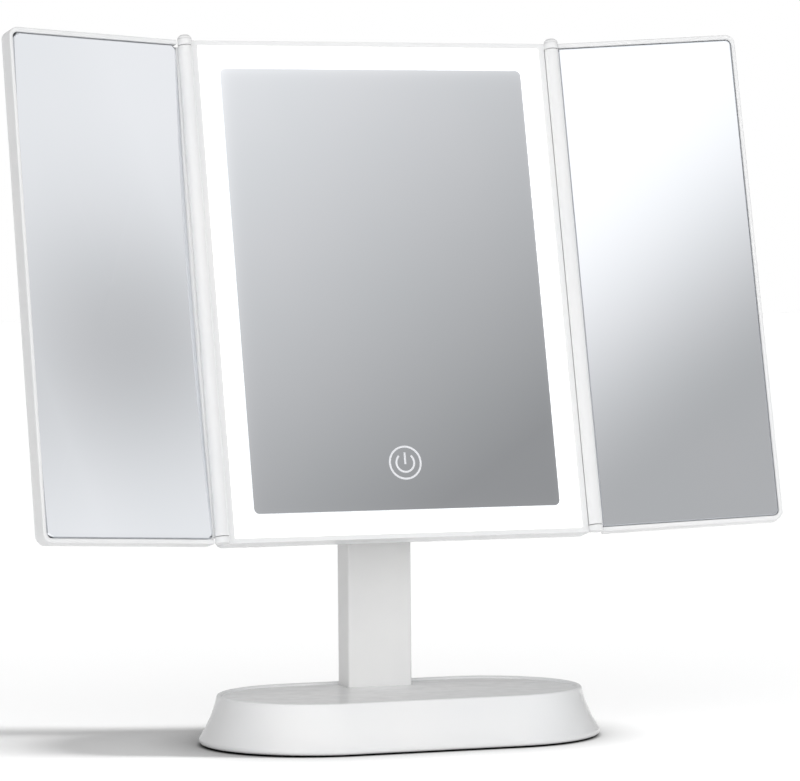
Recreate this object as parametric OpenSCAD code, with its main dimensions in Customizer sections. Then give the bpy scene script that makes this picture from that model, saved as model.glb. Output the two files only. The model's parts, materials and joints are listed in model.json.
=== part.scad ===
// Trifold vanity mirror on a weighted base. Millimetres, +Z up, +Y towards the back.
// The origin lies on the surface that the base stands on, under the middle of the base.

/* [Base] */
// Length of the base at its widest, side to side
base_len = 191.6; // [180:0.2:230]
// Depth of the base at its widest, front to back
base_depth = 111; // [108:0.5:130]
// Height of the base's rim above the surface it stands on
base_h = 23.3; // [22:0.1:30]
// Wall of the base shell
base_wall = 2.4; // [1.8:0.1:2.8]
// Height at which the flared skirt starts
band_h = 3.2; // [2.6:0.1:4]
// Slope of the skirt from vertical at its top, in degrees
flare_top = 13; // [9:1:16]
// Slope of the skirt from vertical at its foot, in degrees
flare_foot = 34; // [28:1:38]
// Width of the rounded rim around the tray
rim_w = 2.4; // [2:0.1:3]
// Depth of the tray below the rim
tray_depth = 1.3; // [1.3:0.1:3]
// Width of the tray's sloped edge
tray_slope_w = 5; // [2:0.5:8]
// Gap between the shell's lower edge and the surface
shell_lift = 0.8; // [0.4:0.1:1.1]

/* [Foot] */
// Thickness of the anti-slip pad
pad_t = 1.2; // [1.1:0.1:2]
// Distance from the base plate's edge to the pad's edge
pad_inset = 3; // [1:0.5:6]
// Thickness of the base plate
plate_t = 2.4; // [2.2:0.1:3]
// Thickness of the steel ballast plate
ballast_t = 5; // [3:0.5:5.5]
// Distance of the screw posts from the middle, side to side
post_x = 66; // [60:1:72]
// Distance of the screw posts from the middle, front to back
post_y = 20; // [16:1:26]
// Radius of the screw posts in the shell
post_r = 3.5; // [3:0.1:4.5]
// Radius of the base screws
base_screw_r = 1.3; // [1:0.1:1.6]

/* [Stem] */
// Width of the stem
stem_w = 31.8; // [29:0.2:36]
// Thickness of the stem, front to back
stem_t = 16; // [14:0.2:16.6]
// Wall of the stem tube
stem_wall = 1.8; // [1.2:0.1:2.4]
// Gap between the stem and the rear rim of the base
stem_rim_gap = 0.5; // [0.3:0.1:3]
// Rounding of the stem's long edges
stem_corner = 1.2; // [0.6:0.1:2]
// Thickness of the flange under the stem
flange_t = 4; // [3:0.5:5]
// Width of the flange under the stem
flange_w = 60; // [50:1:70]
// Length of the plugs inside the stem tube
plug_len = 22; // [16:1:30]
// Radius of the two screws that hold the stem's foot
foot_screw_r = 2; // [1.5:0.1:2.2]
// Distance of those screws from the stem's middle
foot_screw_x = 8; // [6:0.5:9]

/* [Tilt joint] */
// Height of the tilt axis above the surface
pivot_z = 201.4; // [190:0.2:215]
// Distance of the tilt axis behind the front of the centre mirror's frame
pivot_depth = 29.2; // [29:0.1:32]
// Distance of the tilt axis below the middle of the head
pivot_drop = 3.2; // [0:0.2:8]
// How far the head leans back in the photograph, in degrees
tilt_rest = 13.2; // [0:0.1:25]
// Radius of the tilt bolt
bolt_r = 3; // [2.5:0.1:3.2]
// Width of the head's knuckle
knuckle_w = 12; // [10:0.5:13]
// Radius of the knuckle
knuckle_r = 7.4; // [6.4:0.1:7.8]
// Thickness of the friction washers
washer_t = 0.8; // [0.5:0.1:1]
// Radius of the bolt's head
bolt_head_r = 5; // [4.6:0.1:5.4]
// Thickness of the bolt's head and of its nut
bolt_head_t = 2.6; // [2:0.1:3]
// Thickness of the caps over the bolt's ends
pivot_cap_t = 1; // [0.8:0.1:1.4]

/* [Centre panel] */
// Width of the head's rear housing
panel_w = 182; // [160:1:210]
// Height of the head
panel_h = 238; // [205:1:280]
// Thickness of the head
panel_t = 17; // [16.4:0.1:17.6]
// Depth of the seam between the front frame and the rear housing
seam_y = 9.5; // [9:0.1:10]
// Wall of the front frame
frame_wall = 1.4; // [1.2:0.1:1.6]
// Width of the lip that holds the diffuser
lip_w = 0.9; // [0.6:0.1:1.2]
// Thickness of that lip
lip_t = 1; // [0.8:0.1:1.2]
// Depth at which the frame widens behind the hinge barrels
step_y = 3.2; // [3:0.1:3.6]
// Rounding of the head's corners
panel_corner = 3; // [1.6:0.1:4]
// Wall of the rear housing
housing_wall = 2; // [1.8:0.1:2.4]
// Rounding of the rear housing's back edge
back_round = 5; // [4:0.5:5.5]

/* [Centre mirror and light] */
// Width of the light band beside the centre mirror, with its lip
band_side = 10.65; // [10.6:0.05:13]
// Width of the light band above and below the centre mirror, with its lip
band_end = 11.5; // [11.5:0.05:14]
// Thickness of the mirror glass
glass_t = 3; // [2.6:0.1:3.2]
// Rounding of the centre mirror's corners
mirror_corner = 3; // [2:0.5:5]
// Distance of the mirror's face behind the light band's face
mirror_recess = 0.5; // [0.3:0.1:0.8]
// Thickness of the mounting tape behind the centre mirror
tape_t = 0.8; // [0.6:0.1:1]
// Gap around each mirror
mirror_gap = 0.15; // [0.1:0.05:0.3]
// Thickness of the diffuser
diffuser_t = 2.2; // [2:0.1:2.6]
// Thickness of the mirror chassis
chassis_t = 2; // [1.6:0.1:2.2]
// How far the chassis reaches past the mirror's edge
chassis_over = 1.35; // [1.2:0.05:1.6]
// Wall of the chassis and thickness of its flange
chassis_wall = 1.5; // [1.2:0.1:1.8]
// Thickness of the circuit boards
board_t = 1.2; // [1:0.1:1.6]
// Spacing of the light chips along the board
chip_pitch = 12; // [8:1:24]
// Length of a light chip
chip_len = 3.5; // [2:0.1:5]
// Width of a light chip
chip_w = 2.8; // [1.6:0.1:3.5]
// Thickness of a light chip
chip_t = 0.8; // [0.5:0.1:1]

/* [Touch switch and inlet] */
// Distance of the touch symbol above the mirror's lower edge
icon_rise = 22.6; // [19:0.1:26]
// Radius of the touch symbol's ring
icon_r = 8; // [6:0.1:9]
// Width of the touch symbol's lines
icon_line = 0.9; // [0.5:0.1:1.2]
// Thickness of the touch symbol
icon_t = 0.1; // [0.05:0.05:0.2]
// Width of the control board
ctrl_w = 60; // [56:1:66]
// Height of the control board
ctrl_h = 32; // [30:1:34]
// Radius of the touch spring
touch_r = 5; // [4:0.1:6]
// Width of the charging inlet
inlet_w = 9; // [8.6:0.1:9.4]
// Height of the charging inlet
inlet_h = 3.3; // [3:0.1:3.6]
// Distance of the inlet from the middle of the head
inlet_x = 18; // [14:1:20]

/* [Battery bay] */
// Diameter of a cell
cell_d = 10.5; // [10:0.1:10.5]
// Length of a cell without its tip
cell_len = 43.5; // [42:0.1:45]
// Spacing of the cells
cell_pitch = 10.9; // [10.8:0.1:11.4]
// Number of cells side by side
cell_count = 4; // [2:1:4]
// Wall of the battery bay
bay_wall = 2; // [1.8:0.1:2.4]
// Distance of the bay's middle below the top of the head
bay_drop = 44; // [36:1:52]
// Thickness of the battery door
door_t = 1.5; // [1.2:0.1:1.6]
// Width of the ledge that carries the door
door_ledge = 1.4; // [1:0.1:1.6]
// Length of the contact springs
spring_len = 4.7; // [4:0.1:5.5]

/* [Wings] */
// Distance of each hinge axis outside the rear housing's side
hinge_out = 0.5; // [0.3:0.1:0.7]
// Distance of the hinge axes in front of the head's front face
hinge_front = 1; // [0.8:0.1:1.1]
// Radius of the hinge barrels
barrel_r = 3.6; // [3.4:0.05:3.65]
// Gap between a barrel and the front frame
barrel_gap = 0.4; // [0.3:0.05:0.6]
// Radius of the hinge pins
pin_r = 1.5; // [1:0.1:1.6]
// Radial running clearance of pins and tilt bolt
run_gap = 0.05; // [0.02:0.01:0.1]
// Wall of the hinge bushes
bush_wall = 0.85; // [0.6:0.05:1]
// Length of the hinge bushes
bush_len = 12; // [8:1:20]
// Height of the hinge ears on the front frame
ear_h = 3; // [2.4:0.1:4]
// Gap between an ear and the end of a barrel
ear_gap = 0.3; // [0.2:0.05:0.5]
// Height of the domed caps on the upper ears
dome_h = 2; // [1:0.1:3]
// Fold of each wing towards the viewer in the photograph, in degrees
fold_rest = 12.7; // [0:0.1:40]
// Gap between the wings when both are closed
closed_gap = 3.1; // [1:0.1:8]
// Gap between the barrel and the wing mirror
wing_mirror_gap = 0.5; // [0.4:0.05:0.8]
// Width of a wing's outer bezel
wing_bezel = 1.9; // [1.4:0.1:2.4]
// Width of a wing's upper and lower bezels
wing_bezel_end = 2.3; // [1.6:0.1:3]
// Distance of a wing's front face behind its hinge axis
wing_front = 1.05; // [1.05:0.05:1.4]
// Thickness of a wing
wing_t = 9.5; // [9.2:0.1:10]
// Distance of a wing mirror's face behind the wing's front face
wing_recess = 0.6; // [0.4:0.1:0.9]
// Depth of a wing's pocket behind the mirror's face
wing_pocket = 5.5; // [5.4:0.1:5.8]
// Thickness of a wing's back cover
wing_back_t = 2.2; // [1.8:0.1:2.3]
// Rounding of a wing's outer corners
wing_corner = 4.5; // [3:0.5:6]
// Edge thickness of the left wing's magnifying mirror
lens_edge_t = 5; // [4.8:0.1:5.2]
// Radius of curvature of the magnifying mirror
lens_radius = 2500; // [2300:100:6000]

/* [Hidden] */
$fn = 64;
eps = 0.01;
screw_head_t = 1.4;
base_screw_len = 12;
white = "white";
pearl = [0.93, 0.93, 0.94];
steel = [0.72, 0.73, 0.75];
silver = [0.82, 0.84, 0.86];
board_green = [0.10, 0.36, 0.22];
copper = [0.80, 0.52, 0.30];

// Base: the skirt is an arc whose centre lies outside the base, above the rim
base_half_d = base_depth/2;
base_straight = base_len/2 - base_half_d;
flare_top_z = base_h - rim_w/2;
flare_r = (flare_top_z - band_h)/(sin(flare_foot) - sin(flare_top));
rim_half_d = base_half_d - flare_r*(cos(flare_top) - cos(flare_foot));
flare_cx = rim_half_d + flare_r*cos(flare_top);
flare_cz = flare_top_z + flare_r*sin(flare_top);
function cavity_r(z) = min(base_half_d - base_wall,
    flare_cx - sqrt((flare_r + base_wall)^2 - (flare_cz - z)^2));
tray_z = base_h - tray_depth;
tray_under_z = tray_z - base_wall;
plate_top_z = pad_t + plate_t;
ballast_top_z = plate_top_z + ballast_t;
fit_gap = 0.25;
plate_half_d = cavity_r(plate_top_z) - fit_gap;
ballast_half_d = cavity_r(ballast_top_z) - 1;
post_places = [for (sx = [-1, 1], sy = [-1, 1]) [sx*post_x, sy*post_y]];

// Stem and tilt joint
stem_y = rim_half_d - rim_w - stem_rim_gap - stem_t/2;
stem_foot_z = ballast_top_z + flange_t;
shoulder_h = 16;
stem_top_z = pivot_z - shoulder_h;
plug_gap = 0.1;
plug_w = stem_w - 2*stem_wall - 2*plug_gap;
plug_t = stem_t - 2*stem_wall - 2*plug_gap;
washer_gap = 0.1;
slot_half = knuckle_w/2 + washer_gap + washer_t;
pivot_y = stem_y;
ear_face_x = stem_w/2;
nut_flats_r = bolt_head_r*0.9;

// Head: x to the right, y behind the front face, z up along the panel, origin at its middle
hinge_x = panel_w/2 + hinge_out;
front_w = 2*(hinge_x - barrel_r - barrel_gap);
front_in_w = front_w - 2*frame_wall;
frame_in_h = panel_h - 2*frame_wall;
frame_in_w = panel_w - 2*frame_wall;
part_gap = 0.15;
mirror_w = front_in_w - 2*band_side;
mirror_h = frame_in_h - 2*band_end;
diffuser_w = front_in_w - 2*part_gap;
diffuser_h = frame_in_h - 2*part_gap;
glass_back_y = mirror_recess + glass_t;
chassis_y = glass_back_y + tape_t;
chassis_back_y = chassis_y + chassis_t;
chassis_w = mirror_w + 2*chassis_over;
chassis_h = mirror_h + 2*chassis_over;
flange_y = seam_y;
flange_back_y = seam_y + chassis_wall;
skirt_t = 1.25;
led_in_w = chassis_w + 0.8;
led_in_h = chassis_h + 0.8;
led_out_w = diffuser_w - 2*skirt_t - 0.4;
led_out_h = diffuser_h - 2*skirt_t - 0.4;
led_mid_w = (led_in_w + led_out_w)/2;
led_mid_h = (led_in_h + led_out_h)/2;
back_wall_y = panel_t - housing_wall;
housing_in_w = panel_w - 2*housing_wall;
housing_in_h = panel_h - 2*housing_wall;
lip_depth = 1.6;
lip_wall = 1.2;
flange_out_w = frame_in_w - 2*lip_wall - 4*part_gap;
flange_out_h = housing_in_h - 2*part_gap;
housing_boss_r = 3.6;
housing_screw_r = 1.1;
housing_screw_head_r = 2.1;
housing_screw_sink = 2;
housing_screw_places = [for (sx = [-1, 1], sz = [-1, 0, 1]) [sx*mirror_w*0.4, sz*mirror_h*0.44]];

// Tilt bracket
bracket_w = knuckle_w*3;
bracket_h = knuckle_r*6.2;
bracket_t = 2.5;
bracket_screw_r = 1.5;
bracket_edge = 5;
bracket_screw_places = [for (sx = [-1, 1], sz = [-1, 1])
    [sx*(bracket_w/2 - bracket_edge), sz*(bracket_h/2 - bracket_edge - 1) - pivot_drop]];

// Touch switch
icon_z = -mirror_h/2 + icon_rise;
ctrl_z = icon_z - 5;
ctrl_y = chassis_back_y + 2;
ctrl_back_y = ctrl_y + 1.6;
ctrl_post_places = [for (sx = [-1, 1], sz = [-1, 1]) [sx*(ctrl_w/2 - 4), ctrl_z + sz*(ctrl_h/2 - 4)]];
inlet_z = ctrl_z - 3;
inlet_gap = 0.3;
chip_side = 7;
connector_w = 9;
connector_h = 4.5;
connector_d = 3.4;

// Battery bay
bay_z = panel_h/2 - bay_drop;
bay_w = (cell_count - 1)*cell_pitch + cell_d + 1.2;
contact_t = 0.4;
cell_tip = 1;
bay_h = 2*contact_t + spring_len + cell_len + cell_tip;
bay_floor_y = glass_back_y + 0.4;
bay_floor_t = 0.7;
cell_y = bay_floor_y + bay_floor_t + 0.1 + cell_d/2;
door_y = panel_t - door_t - 0.1;
door_gap = 0.2;
spring_wire_r = 0.35;

// Hinges: the upper ears carry domed caps, the lower ears flush plugs
ear_z = panel_h/2 - ear_h;
barrel_end_z = ear_z - ear_gap;
bush_r = pin_r + run_gap + bush_wall;
pin_inner_z = barrel_end_z - bush_len + 0.5;
plug_cap_t = 0.8;
plug_cap_r = pin_r + 1;

// Wings: x outwards from the hinge axis, y behind it, z up
wing_s0 = barrel_r + wing_mirror_gap;
wing_out = hinge_x - closed_gap/2;
wing_mirror_w = wing_out - wing_bezel - mirror_gap - wing_s0;
wing_mirror_h = panel_h - 2*(wing_bezel_end + mirror_gap);
wing_glass_y = wing_front + wing_recess;
wing_floor_y = wing_glass_y + wing_pocket;
wing_seam_y = wing_front + wing_t - wing_back_t;
root_s = 0.6;
lens_sag = lens_radius - sqrt(lens_radius^2 - (wing_mirror_w/2)^2 - (wing_mirror_h/2)^2);
pad_margin = 4;

// ---------- Shared shapes ----------

// A flat rectangle with round corners, centred
module rounded(w, h, r) {
    square([w - 2*r, h], center = true);
    square([w, h - 2*r], center = true);
    for (sx = [-1, 1], sy = [-1, 1]) translate([sx*(w/2 - r), sy*(h/2 - r)]) circle(r);
}

// An outline drawn in x and z, carried from depth y0 back to depth y1
module depthwise(y0, y1) {
    translate([0, y1, 0]) rotate([90, 0, 0]) linear_extrude(y1 - y0) children();
}

// A rounded slab that faces the viewer
module slab(w, h, r, y0, y1) depthwise(y0, y1) rounded(w, h, r);

// A rounded frame that faces the viewer
module frame(w, h, r, in_w, in_h, y0, y1) {
    depthwise(y0, y1) difference() {
        rounded(w, h, r);
        rounded(in_w, in_h, max(r - (w - in_w)/2, 0.5));
    }
}

// A rod along y, from depth y0 to depth y1
module rod_y(r, y0, y1) translate([0, y0, 0]) rotate([-90, 0, 0]) cylinder(r = r, h = y1 - y0);

// A rod along x, from x0 to x1
module rod_x(r, x0, x1) translate([x0, 0, 0]) rotate([0, 90, 0]) cylinder(r = r, h = x1 - x0);

// A stadium plate
module stadium(half_d, z0, z1) {
    translate([0, 0, z0]) linear_extrude(z1 - z0) {
        square([2*base_straight, 2*half_d], center = true);
        for (sx = [-1, 1]) translate([sx*base_straight, 0]) circle(half_d, $fn = 128);
    }
}

// A half-depth profile (distance from the middle, height) carried round the stadium
module around_stadium() {
    for (side = [-1, 1]) translate([side*base_straight, 0, 0]) rotate([0, 0, side*90 - 180])
        rotate_extrude(angle = 180, $fn = 128) children();
    translate([-base_straight, 0, 0]) rotate([90, 0, 90]) linear_extrude(2*base_straight) {
        children();
        mirror([1, 0]) children();
    }
}

// A conical coil spring along z: rings of points round a helix, skinned into one tube
module coil(r0, r1, length, turns, wire_r) {
    sides = 6;
    steps = turns*10;
    rings = [for (i = [0:steps]) let (a = 36*i, r = r0 + (r1 - r0)*i/steps,
                                      z = wire_r + (length - 2*wire_r)*i/steps)
             [for (k = [0:sides - 1]) let (b = 360*k/sides)
              [(r + wire_r*cos(b))*cos(a), (r + wire_r*cos(b))*sin(a), z + wire_r*sin(b)]]];
    skin = [for (i = [0:steps - 1], k = [0:sides - 1]) let (n = (k + 1) % sides)
            [i*sides + k, i*sides + n, (i + 1)*sides + n, (i + 1)*sides + k]];
    first = [for (k = [0:sides - 1]) sides - 1 - k];
    last = [for (k = [0:sides - 1]) steps*sides + k];
    polyhedron([for (ring = rings, p = ring) p], concat([first], skin, [last]), convexity = 8);
}

// ---------- Base ----------

module base_outline() {
    difference() {
        translate([0, shell_lift]) square([base_half_d, base_h - shell_lift]);
        translate([flare_cx, flare_cz]) circle(flare_r, $fn = 720);
        polygon([[-1, tray_z], [rim_half_d - rim_w - tray_slope_w, tray_z], [rim_half_d - rim_w, flare_top_z],
                 [base_half_d + 1, flare_top_z], [base_half_d + 1, base_h + 1], [-1, base_h + 1]]);
        difference() {
            translate([base_half_d - 1.5, shell_lift - 1]) square([2, 2.5]);
            translate([base_half_d - 1.5, shell_lift + 1.5]) circle(1.5);
        }
    }
    translate([rim_half_d - rim_w/2, flare_top_z]) circle(rim_w/2, $fn = 48);
}

module base_cavity_outline() {
    difference() {
        translate([0, -1]) square([base_half_d - base_wall, tray_under_z + 1]);
        translate([flare_cx, flare_cz]) circle(flare_r + base_wall, $fn = 720);
    }
}

module base_shell() color(white) {
    difference() {
        union() {
            around_stadium() difference() {
                base_outline();
                base_cavity_outline();
            }
            for (p = post_places) translate([p.x, p.y, plate_top_z])
                cylinder(r = post_r, h = tray_under_z - plate_top_z + 1);
        }
        for (p = post_places) translate([p.x, p.y, plate_top_z - 1])
            cylinder(r = base_screw_r, h = base_screw_len + 1);
        stem_outline(part_gap, tray_under_z - 2, base_h + 2);
    }
}

module base_plate() color(pearl) {
    difference() {
        stadium(plate_half_d, pad_t, plate_top_z);
        for (p = post_places) translate([p.x, p.y, 0]) {
            cylinder(r = base_screw_r + 0.3, h = plate_top_z + 1);
            cylinder(r = base_screw_r*2.3 + 0.2, h = pad_t + screw_head_t);
        }
    }
}

module ballast_plate() color(steel) {
    difference() {
        stadium(ballast_half_d, plate_top_z, ballast_top_z);
        for (p = post_places) translate([p.x, p.y, 0]) cylinder(r = post_r + 0.5, h = ballast_top_z + 1);
        for (sx = [-1, 1]) translate([sx*foot_screw_x, stem_y, 0]) {
            cylinder(r = foot_screw_r + 0.2, h = ballast_top_z + 1);
            cylinder(r = foot_screw_r*1.8 + 0.2, h = plate_top_z + 2);
        }
    }
}

module foot_pad() color([0.35, 0.35, 0.36]) {
    difference() {
        stadium(plate_half_d - pad_inset, 0, pad_t);
        for (p = post_places) translate([p.x, p.y, -1]) cylinder(r = base_screw_r*2.3 + 0.8, h = pad_t + 2);
    }
}

module base_screws() color(steel) {
    for (p = post_places) translate([p.x, p.y, pad_t]) difference() {
        union() {
            cylinder(r = base_screw_r*2.3, h = screw_head_t);
            cylinder(r = base_screw_r, h = base_screw_len);
        }
        translate([0, 0, -1]) cylinder(r = 0.9, h = 1.8, $fn = 6);
    }
}

// ---------- Stem ----------

// The stem's section, grown by a gap
module stem_outline(gap, z0, z1) {
    translate([0, stem_y, z0]) linear_extrude(z1 - z0) rounded(stem_w + 2*gap, stem_t + 2*gap, stem_corner);
}

module stem_tube() color(white) {
    difference() {
        stem_outline(0, stem_foot_z, stem_top_z);
        translate([0, stem_y, stem_foot_z - 1]) linear_extrude(stem_top_z - stem_foot_z + 2)
            square([stem_w - 2*stem_wall, stem_t - 2*stem_wall], center = true);
    }
}

module stem_foot() color(steel) {
    difference() {
        union() {
            translate([-flange_w/2, stem_y - stem_t/2, ballast_top_z]) cube([flange_w, stem_t, flange_t]);
            translate([-plug_w/2, stem_y - plug_t/2, ballast_top_z])
                cube([plug_w, plug_t, flange_t + plug_len]);
        }
        for (sx = [-1, 1]) translate([sx*foot_screw_x, stem_y, ballast_top_z - 1])
            cylinder(r = foot_screw_r, h = 15);
    }
}

module foot_screws() color(steel) {
    for (sx = [-1, 1]) translate([sx*foot_screw_x, stem_y, plate_top_z]) difference() {
        union() {
            cylinder(r = foot_screw_r*1.8, h = 2);
            cylinder(r = foot_screw_r, h = ballast_t + 13);
        }
        translate([0, 0, -1]) cylinder(r = 1.3, h = 2.2, $fn = 6);
    }
}

module stem_yoke() color(white) {
    difference() {
        union() {
            translate([-plug_w/2, stem_y - plug_t/2, stem_top_z - plug_len])
                cube([plug_w, plug_t, plug_len + 1]);
            stem_outline(0, stem_top_z, pivot_z);
            translate([0, pivot_y, pivot_z]) rod_x(stem_t/2, -stem_w/2, stem_w/2);
        }
        translate([-slot_half, stem_y - stem_t, pivot_z - stem_t/2 - 0.6])
            cube([2*slot_half, 2*stem_t, 2*stem_t]);
        translate([0, pivot_y, pivot_z]) {
            rod_x(bolt_r, -ear_face_x - 1, ear_face_x + 1);
            rod_x(bolt_head_r + 0.2, -ear_face_x - 1, -ear_face_x + bolt_head_t + pivot_cap_t);
            rod_x(bolt_head_r + 0.2, ear_face_x - pivot_cap_t, ear_face_x + 1);
            translate([ear_face_x - pivot_cap_t - bolt_head_t, 0, 0]) rotate([0, 90, 0])
                cylinder(r = nut_flats_r + 0.1, h = bolt_head_t + 1, $fn = 6);
        }
    }
}

module tilt_bolt() color(steel) {
    translate([0, pivot_y, pivot_z]) difference() {
        union() {
            rod_x(bolt_r, -ear_face_x + pivot_cap_t + 1, ear_face_x - pivot_cap_t);
            rod_x(bolt_head_r, -ear_face_x + pivot_cap_t, -ear_face_x + pivot_cap_t + bolt_head_t);
        }
        translate([-ear_face_x + pivot_cap_t - 1, 0, 0]) rotate([0, 90, 0]) cylinder(r = 2, h = 2.6, $fn = 6);
    }
}

module tilt_nut() color(steel) {
    translate([ear_face_x - pivot_cap_t - bolt_head_t, pivot_y, pivot_z]) rotate([0, 90, 0]) difference() {
        cylinder(r = nut_flats_r, h = bolt_head_t, $fn = 6);
        translate([0, 0, -1]) cylinder(r = bolt_r, h = bolt_head_t + 2);
    }
}

module friction_washers() color(steel) {
    for (side = [-1, 1]) translate([0, pivot_y, pivot_z]) scale([side, 1, 1]) difference() {
        rod_x(knuckle_r - 1, slot_half - washer_t, slot_half);
        rod_x(bolt_r + run_gap, slot_half - 2, slot_half + 1);
    }
}

module pivot_caps() color(white) {
    translate([0, pivot_y, pivot_z]) {
        rod_x(bolt_head_r + 0.2, -ear_face_x, -ear_face_x + pivot_cap_t);
        rod_x(bolt_head_r + 0.2, ear_face_x - pivot_cap_t, ear_face_x);
    }
}

// ---------- Head ----------

// Puts what is drawn in the head's own frame where it stands
module head_place() {
    translate([0, pivot_y, pivot_z]) rotate([-tilt_rest, 0, 0])
        translate([0, -pivot_depth, pivot_drop]) children();
}

// Repeats its children at the four hinge ends: side -1 or 1, end 1 at the top and -1 at the bottom
module hinge_ends() {
    for (side = [-1, 1], end = [-1, 1]) translate([side*hinge_x, -hinge_front, 0])
        scale([side, 1, end]) children();
}

// The hollow strip of the front frame that follows a barrel, between the ears
module barrel_cove() {
    difference() {
        translate([front_w/2 - 1, 0, -ear_z]) cube([(panel_w - front_w)/2 + 1, step_y + 0.5, 2*ear_z]);
        translate([hinge_x, -hinge_front, -ear_z - 1])
            cylinder(r = barrel_r + barrel_gap, h = 2*ear_z + 2);
    }
}

module front_frame() color(white) head_place() {
    difference() {
        union() {
            frame(front_w, panel_h, panel_corner, front_in_w, frame_in_h, 0, step_y + frame_wall);
            frame(front_w, panel_h, panel_corner, front_in_w - 2*lip_w, frame_in_h - 2*lip_w, 0, lip_t);
            frame(panel_w, panel_h, panel_corner, frame_in_w, frame_in_h, step_y, seam_y);
            frame(panel_w, panel_h, panel_corner, front_in_w, frame_in_h, step_y, step_y + frame_wall);
            hinge_ends() {
                translate([0, 0, ear_z]) cylinder(r = barrel_r, h = ear_h);
                translate([-hinge_x + front_w/2 - 1, hinge_front, ear_z])
                    cube([hinge_x - front_w/2 + 1, barrel_r - hinge_front, ear_h]);
            }
            for (side = [-1, 1]) scale([side, 1, 1]) barrel_cove();
        }
        hinge_ends() translate([0, 0, ear_z - 1]) cylinder(r = pin_r, h = ear_h + 2);
        for (side = [-1, 1]) translate([side*hinge_x, -hinge_front, -panel_h/2 - 1])
            cylinder(r = plug_cap_r, h = 1 + plug_cap_t);
    }
}

module hinge_pins() color(steel) head_place() {
    for (side = [-1, 1]) translate([side*hinge_x, -hinge_front, 0]) {
        translate([0, 0, pin_inner_z]) cylinder(r = pin_r, h = panel_h/2 - pin_inner_z);
        translate([0, 0, -panel_h/2 + plug_cap_t])
            cylinder(r = pin_r, h = panel_h/2 - plug_cap_t - pin_inner_z);
    }
}

module hinge_caps() color(white) head_place() {
    for (side = [-1, 1]) translate([side*hinge_x, -hinge_front, 0]) {
        translate([0, 0, panel_h/2]) cylinder(r = barrel_r, h = dome_h*0.35);
        translate([0, 0, panel_h/2 + dome_h*0.35])
            cylinder(r1 = barrel_r, r2 = barrel_r*0.62, h = dome_h*0.65);
        translate([0, 0, -panel_h/2]) cylinder(r = plug_cap_r, h = plug_cap_t);
    }
}

// The rear housing's outside: a straight wall with a rounded back edge
module housing_body() {
    steps = 3;
    straight_y = panel_t - back_round;
    slab(panel_w, panel_h, panel_corner, seam_y, straight_y + eps);
    for (i = [0:steps - 1]) {
        a0 = 78*i/steps;
        a1 = 78*(i + 1)/steps;
        hull() {
            rounding_slice(a0, straight_y);
            rounding_slice(a1, straight_y);
        }
    }
    inset = back_round*(1 - cos(78));
    slab(panel_w - 2*inset, panel_h - 2*inset, panel_corner, straight_y + back_round*sin(78) - 0.05, panel_t);
}

module rounding_slice(a, y) {
    inset = back_round*(1 - cos(a));
    slab(panel_w - 2*inset, panel_h - 2*inset, panel_corner,
         y + back_round*sin(a) - eps, y + back_round*sin(a), $fn = 32);
}

module rear_housing() color(white) head_place() {
    difference() {
        union() {
            difference() {
                housing_body();
                slab(housing_in_w, housing_in_h, panel_corner, seam_y - 1, panel_t - back_round + 1);
                slab(housing_in_w - 4, housing_in_h - 4, panel_corner, panel_t - back_round, back_wall_y);
            }
            for (sx = [-1, 1]) translate([sx*(frame_in_w/2 - part_gap - lip_wall/2), 0, 0])
                slab(lip_wall, panel_h*0.84, 0.3, seam_y - lip_depth, seam_y + 1);
            for (p = housing_screw_places) translate([p.x, 0, p.y])
                rod_y(housing_boss_r, flange_back_y, back_wall_y + eps);
            for (p = bracket_screw_places) translate([p.x, 0, p.y])
                rod_y(bracket_screw_r*2.2, chassis_back_y + 2, back_wall_y + eps);
            translate([0, 0, bay_z])
                slab(bay_w + 2*bay_wall, bay_h + 2*bay_wall, 1.5, bay_floor_y, back_wall_y + eps);
        }
        translate([0, 0, bay_z]) {
            slab(bay_w, bay_h, 0.5, bay_floor_y + bay_floor_t, panel_t + 1);
            slab(bay_w + 2*door_ledge, bay_h + 2*door_ledge, 1.5, door_y, panel_t + 1);
        }
        for (p = housing_screw_places) translate([p.x, 0, p.y]) {
            rod_y(housing_screw_r + 0.2, 0, panel_t + 1);
            rod_y(housing_screw_head_r + 0.2, panel_t - housing_screw_sink - screw_head_t, panel_t + 1);
        }
        for (p = bracket_screw_places) translate([p.x, 0, p.y])
            rod_y(bracket_screw_r, chassis_back_y + 3, panel_t + 1);
        translate([inlet_x, 0, inlet_z])
            slab(inlet_w + 2*inlet_gap, inlet_h + 2*inlet_gap, 1.5, back_wall_y - 1, panel_t + 1);
    }
}

module light_diffuser() color([1, 1, 1]) head_place() {
    gap_w = mirror_w + 2*mirror_gap;
    gap_h = mirror_h + 2*mirror_gap;
    lip_gap = lip_w + part_gap;
    frame(front_in_w - 2*lip_gap, frame_in_h - 2*lip_gap, panel_corner, gap_w, gap_h, 0, lip_t + part_gap);
    frame(diffuser_w, diffuser_h, panel_corner, gap_w, gap_h, lip_t + part_gap, diffuser_t);
    frame(chassis_w, chassis_h, panel_corner, gap_w, gap_h, diffuser_t - eps, chassis_y);
    frame(diffuser_w, diffuser_h, panel_corner, diffuser_w - 2*skirt_t, diffuser_h - 2*skirt_t,
          diffuser_t - eps, flange_y);
}

module centre_mirror() color(silver) head_place() {
    slab(mirror_w, mirror_h, mirror_corner, mirror_recess, glass_back_y);
}

module mirror_tape() color([0.3, 0.3, 0.3]) head_place() {
    strip_w = (mirror_w - bay_w - 2*bay_wall)/2 - 14;
    for (side = [-1, 1]) translate([side*(mirror_w/2 - 5 - strip_w/2), 0, 0])
        slab(strip_w, mirror_h - 20, 1, glass_back_y, chassis_y);
}

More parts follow.
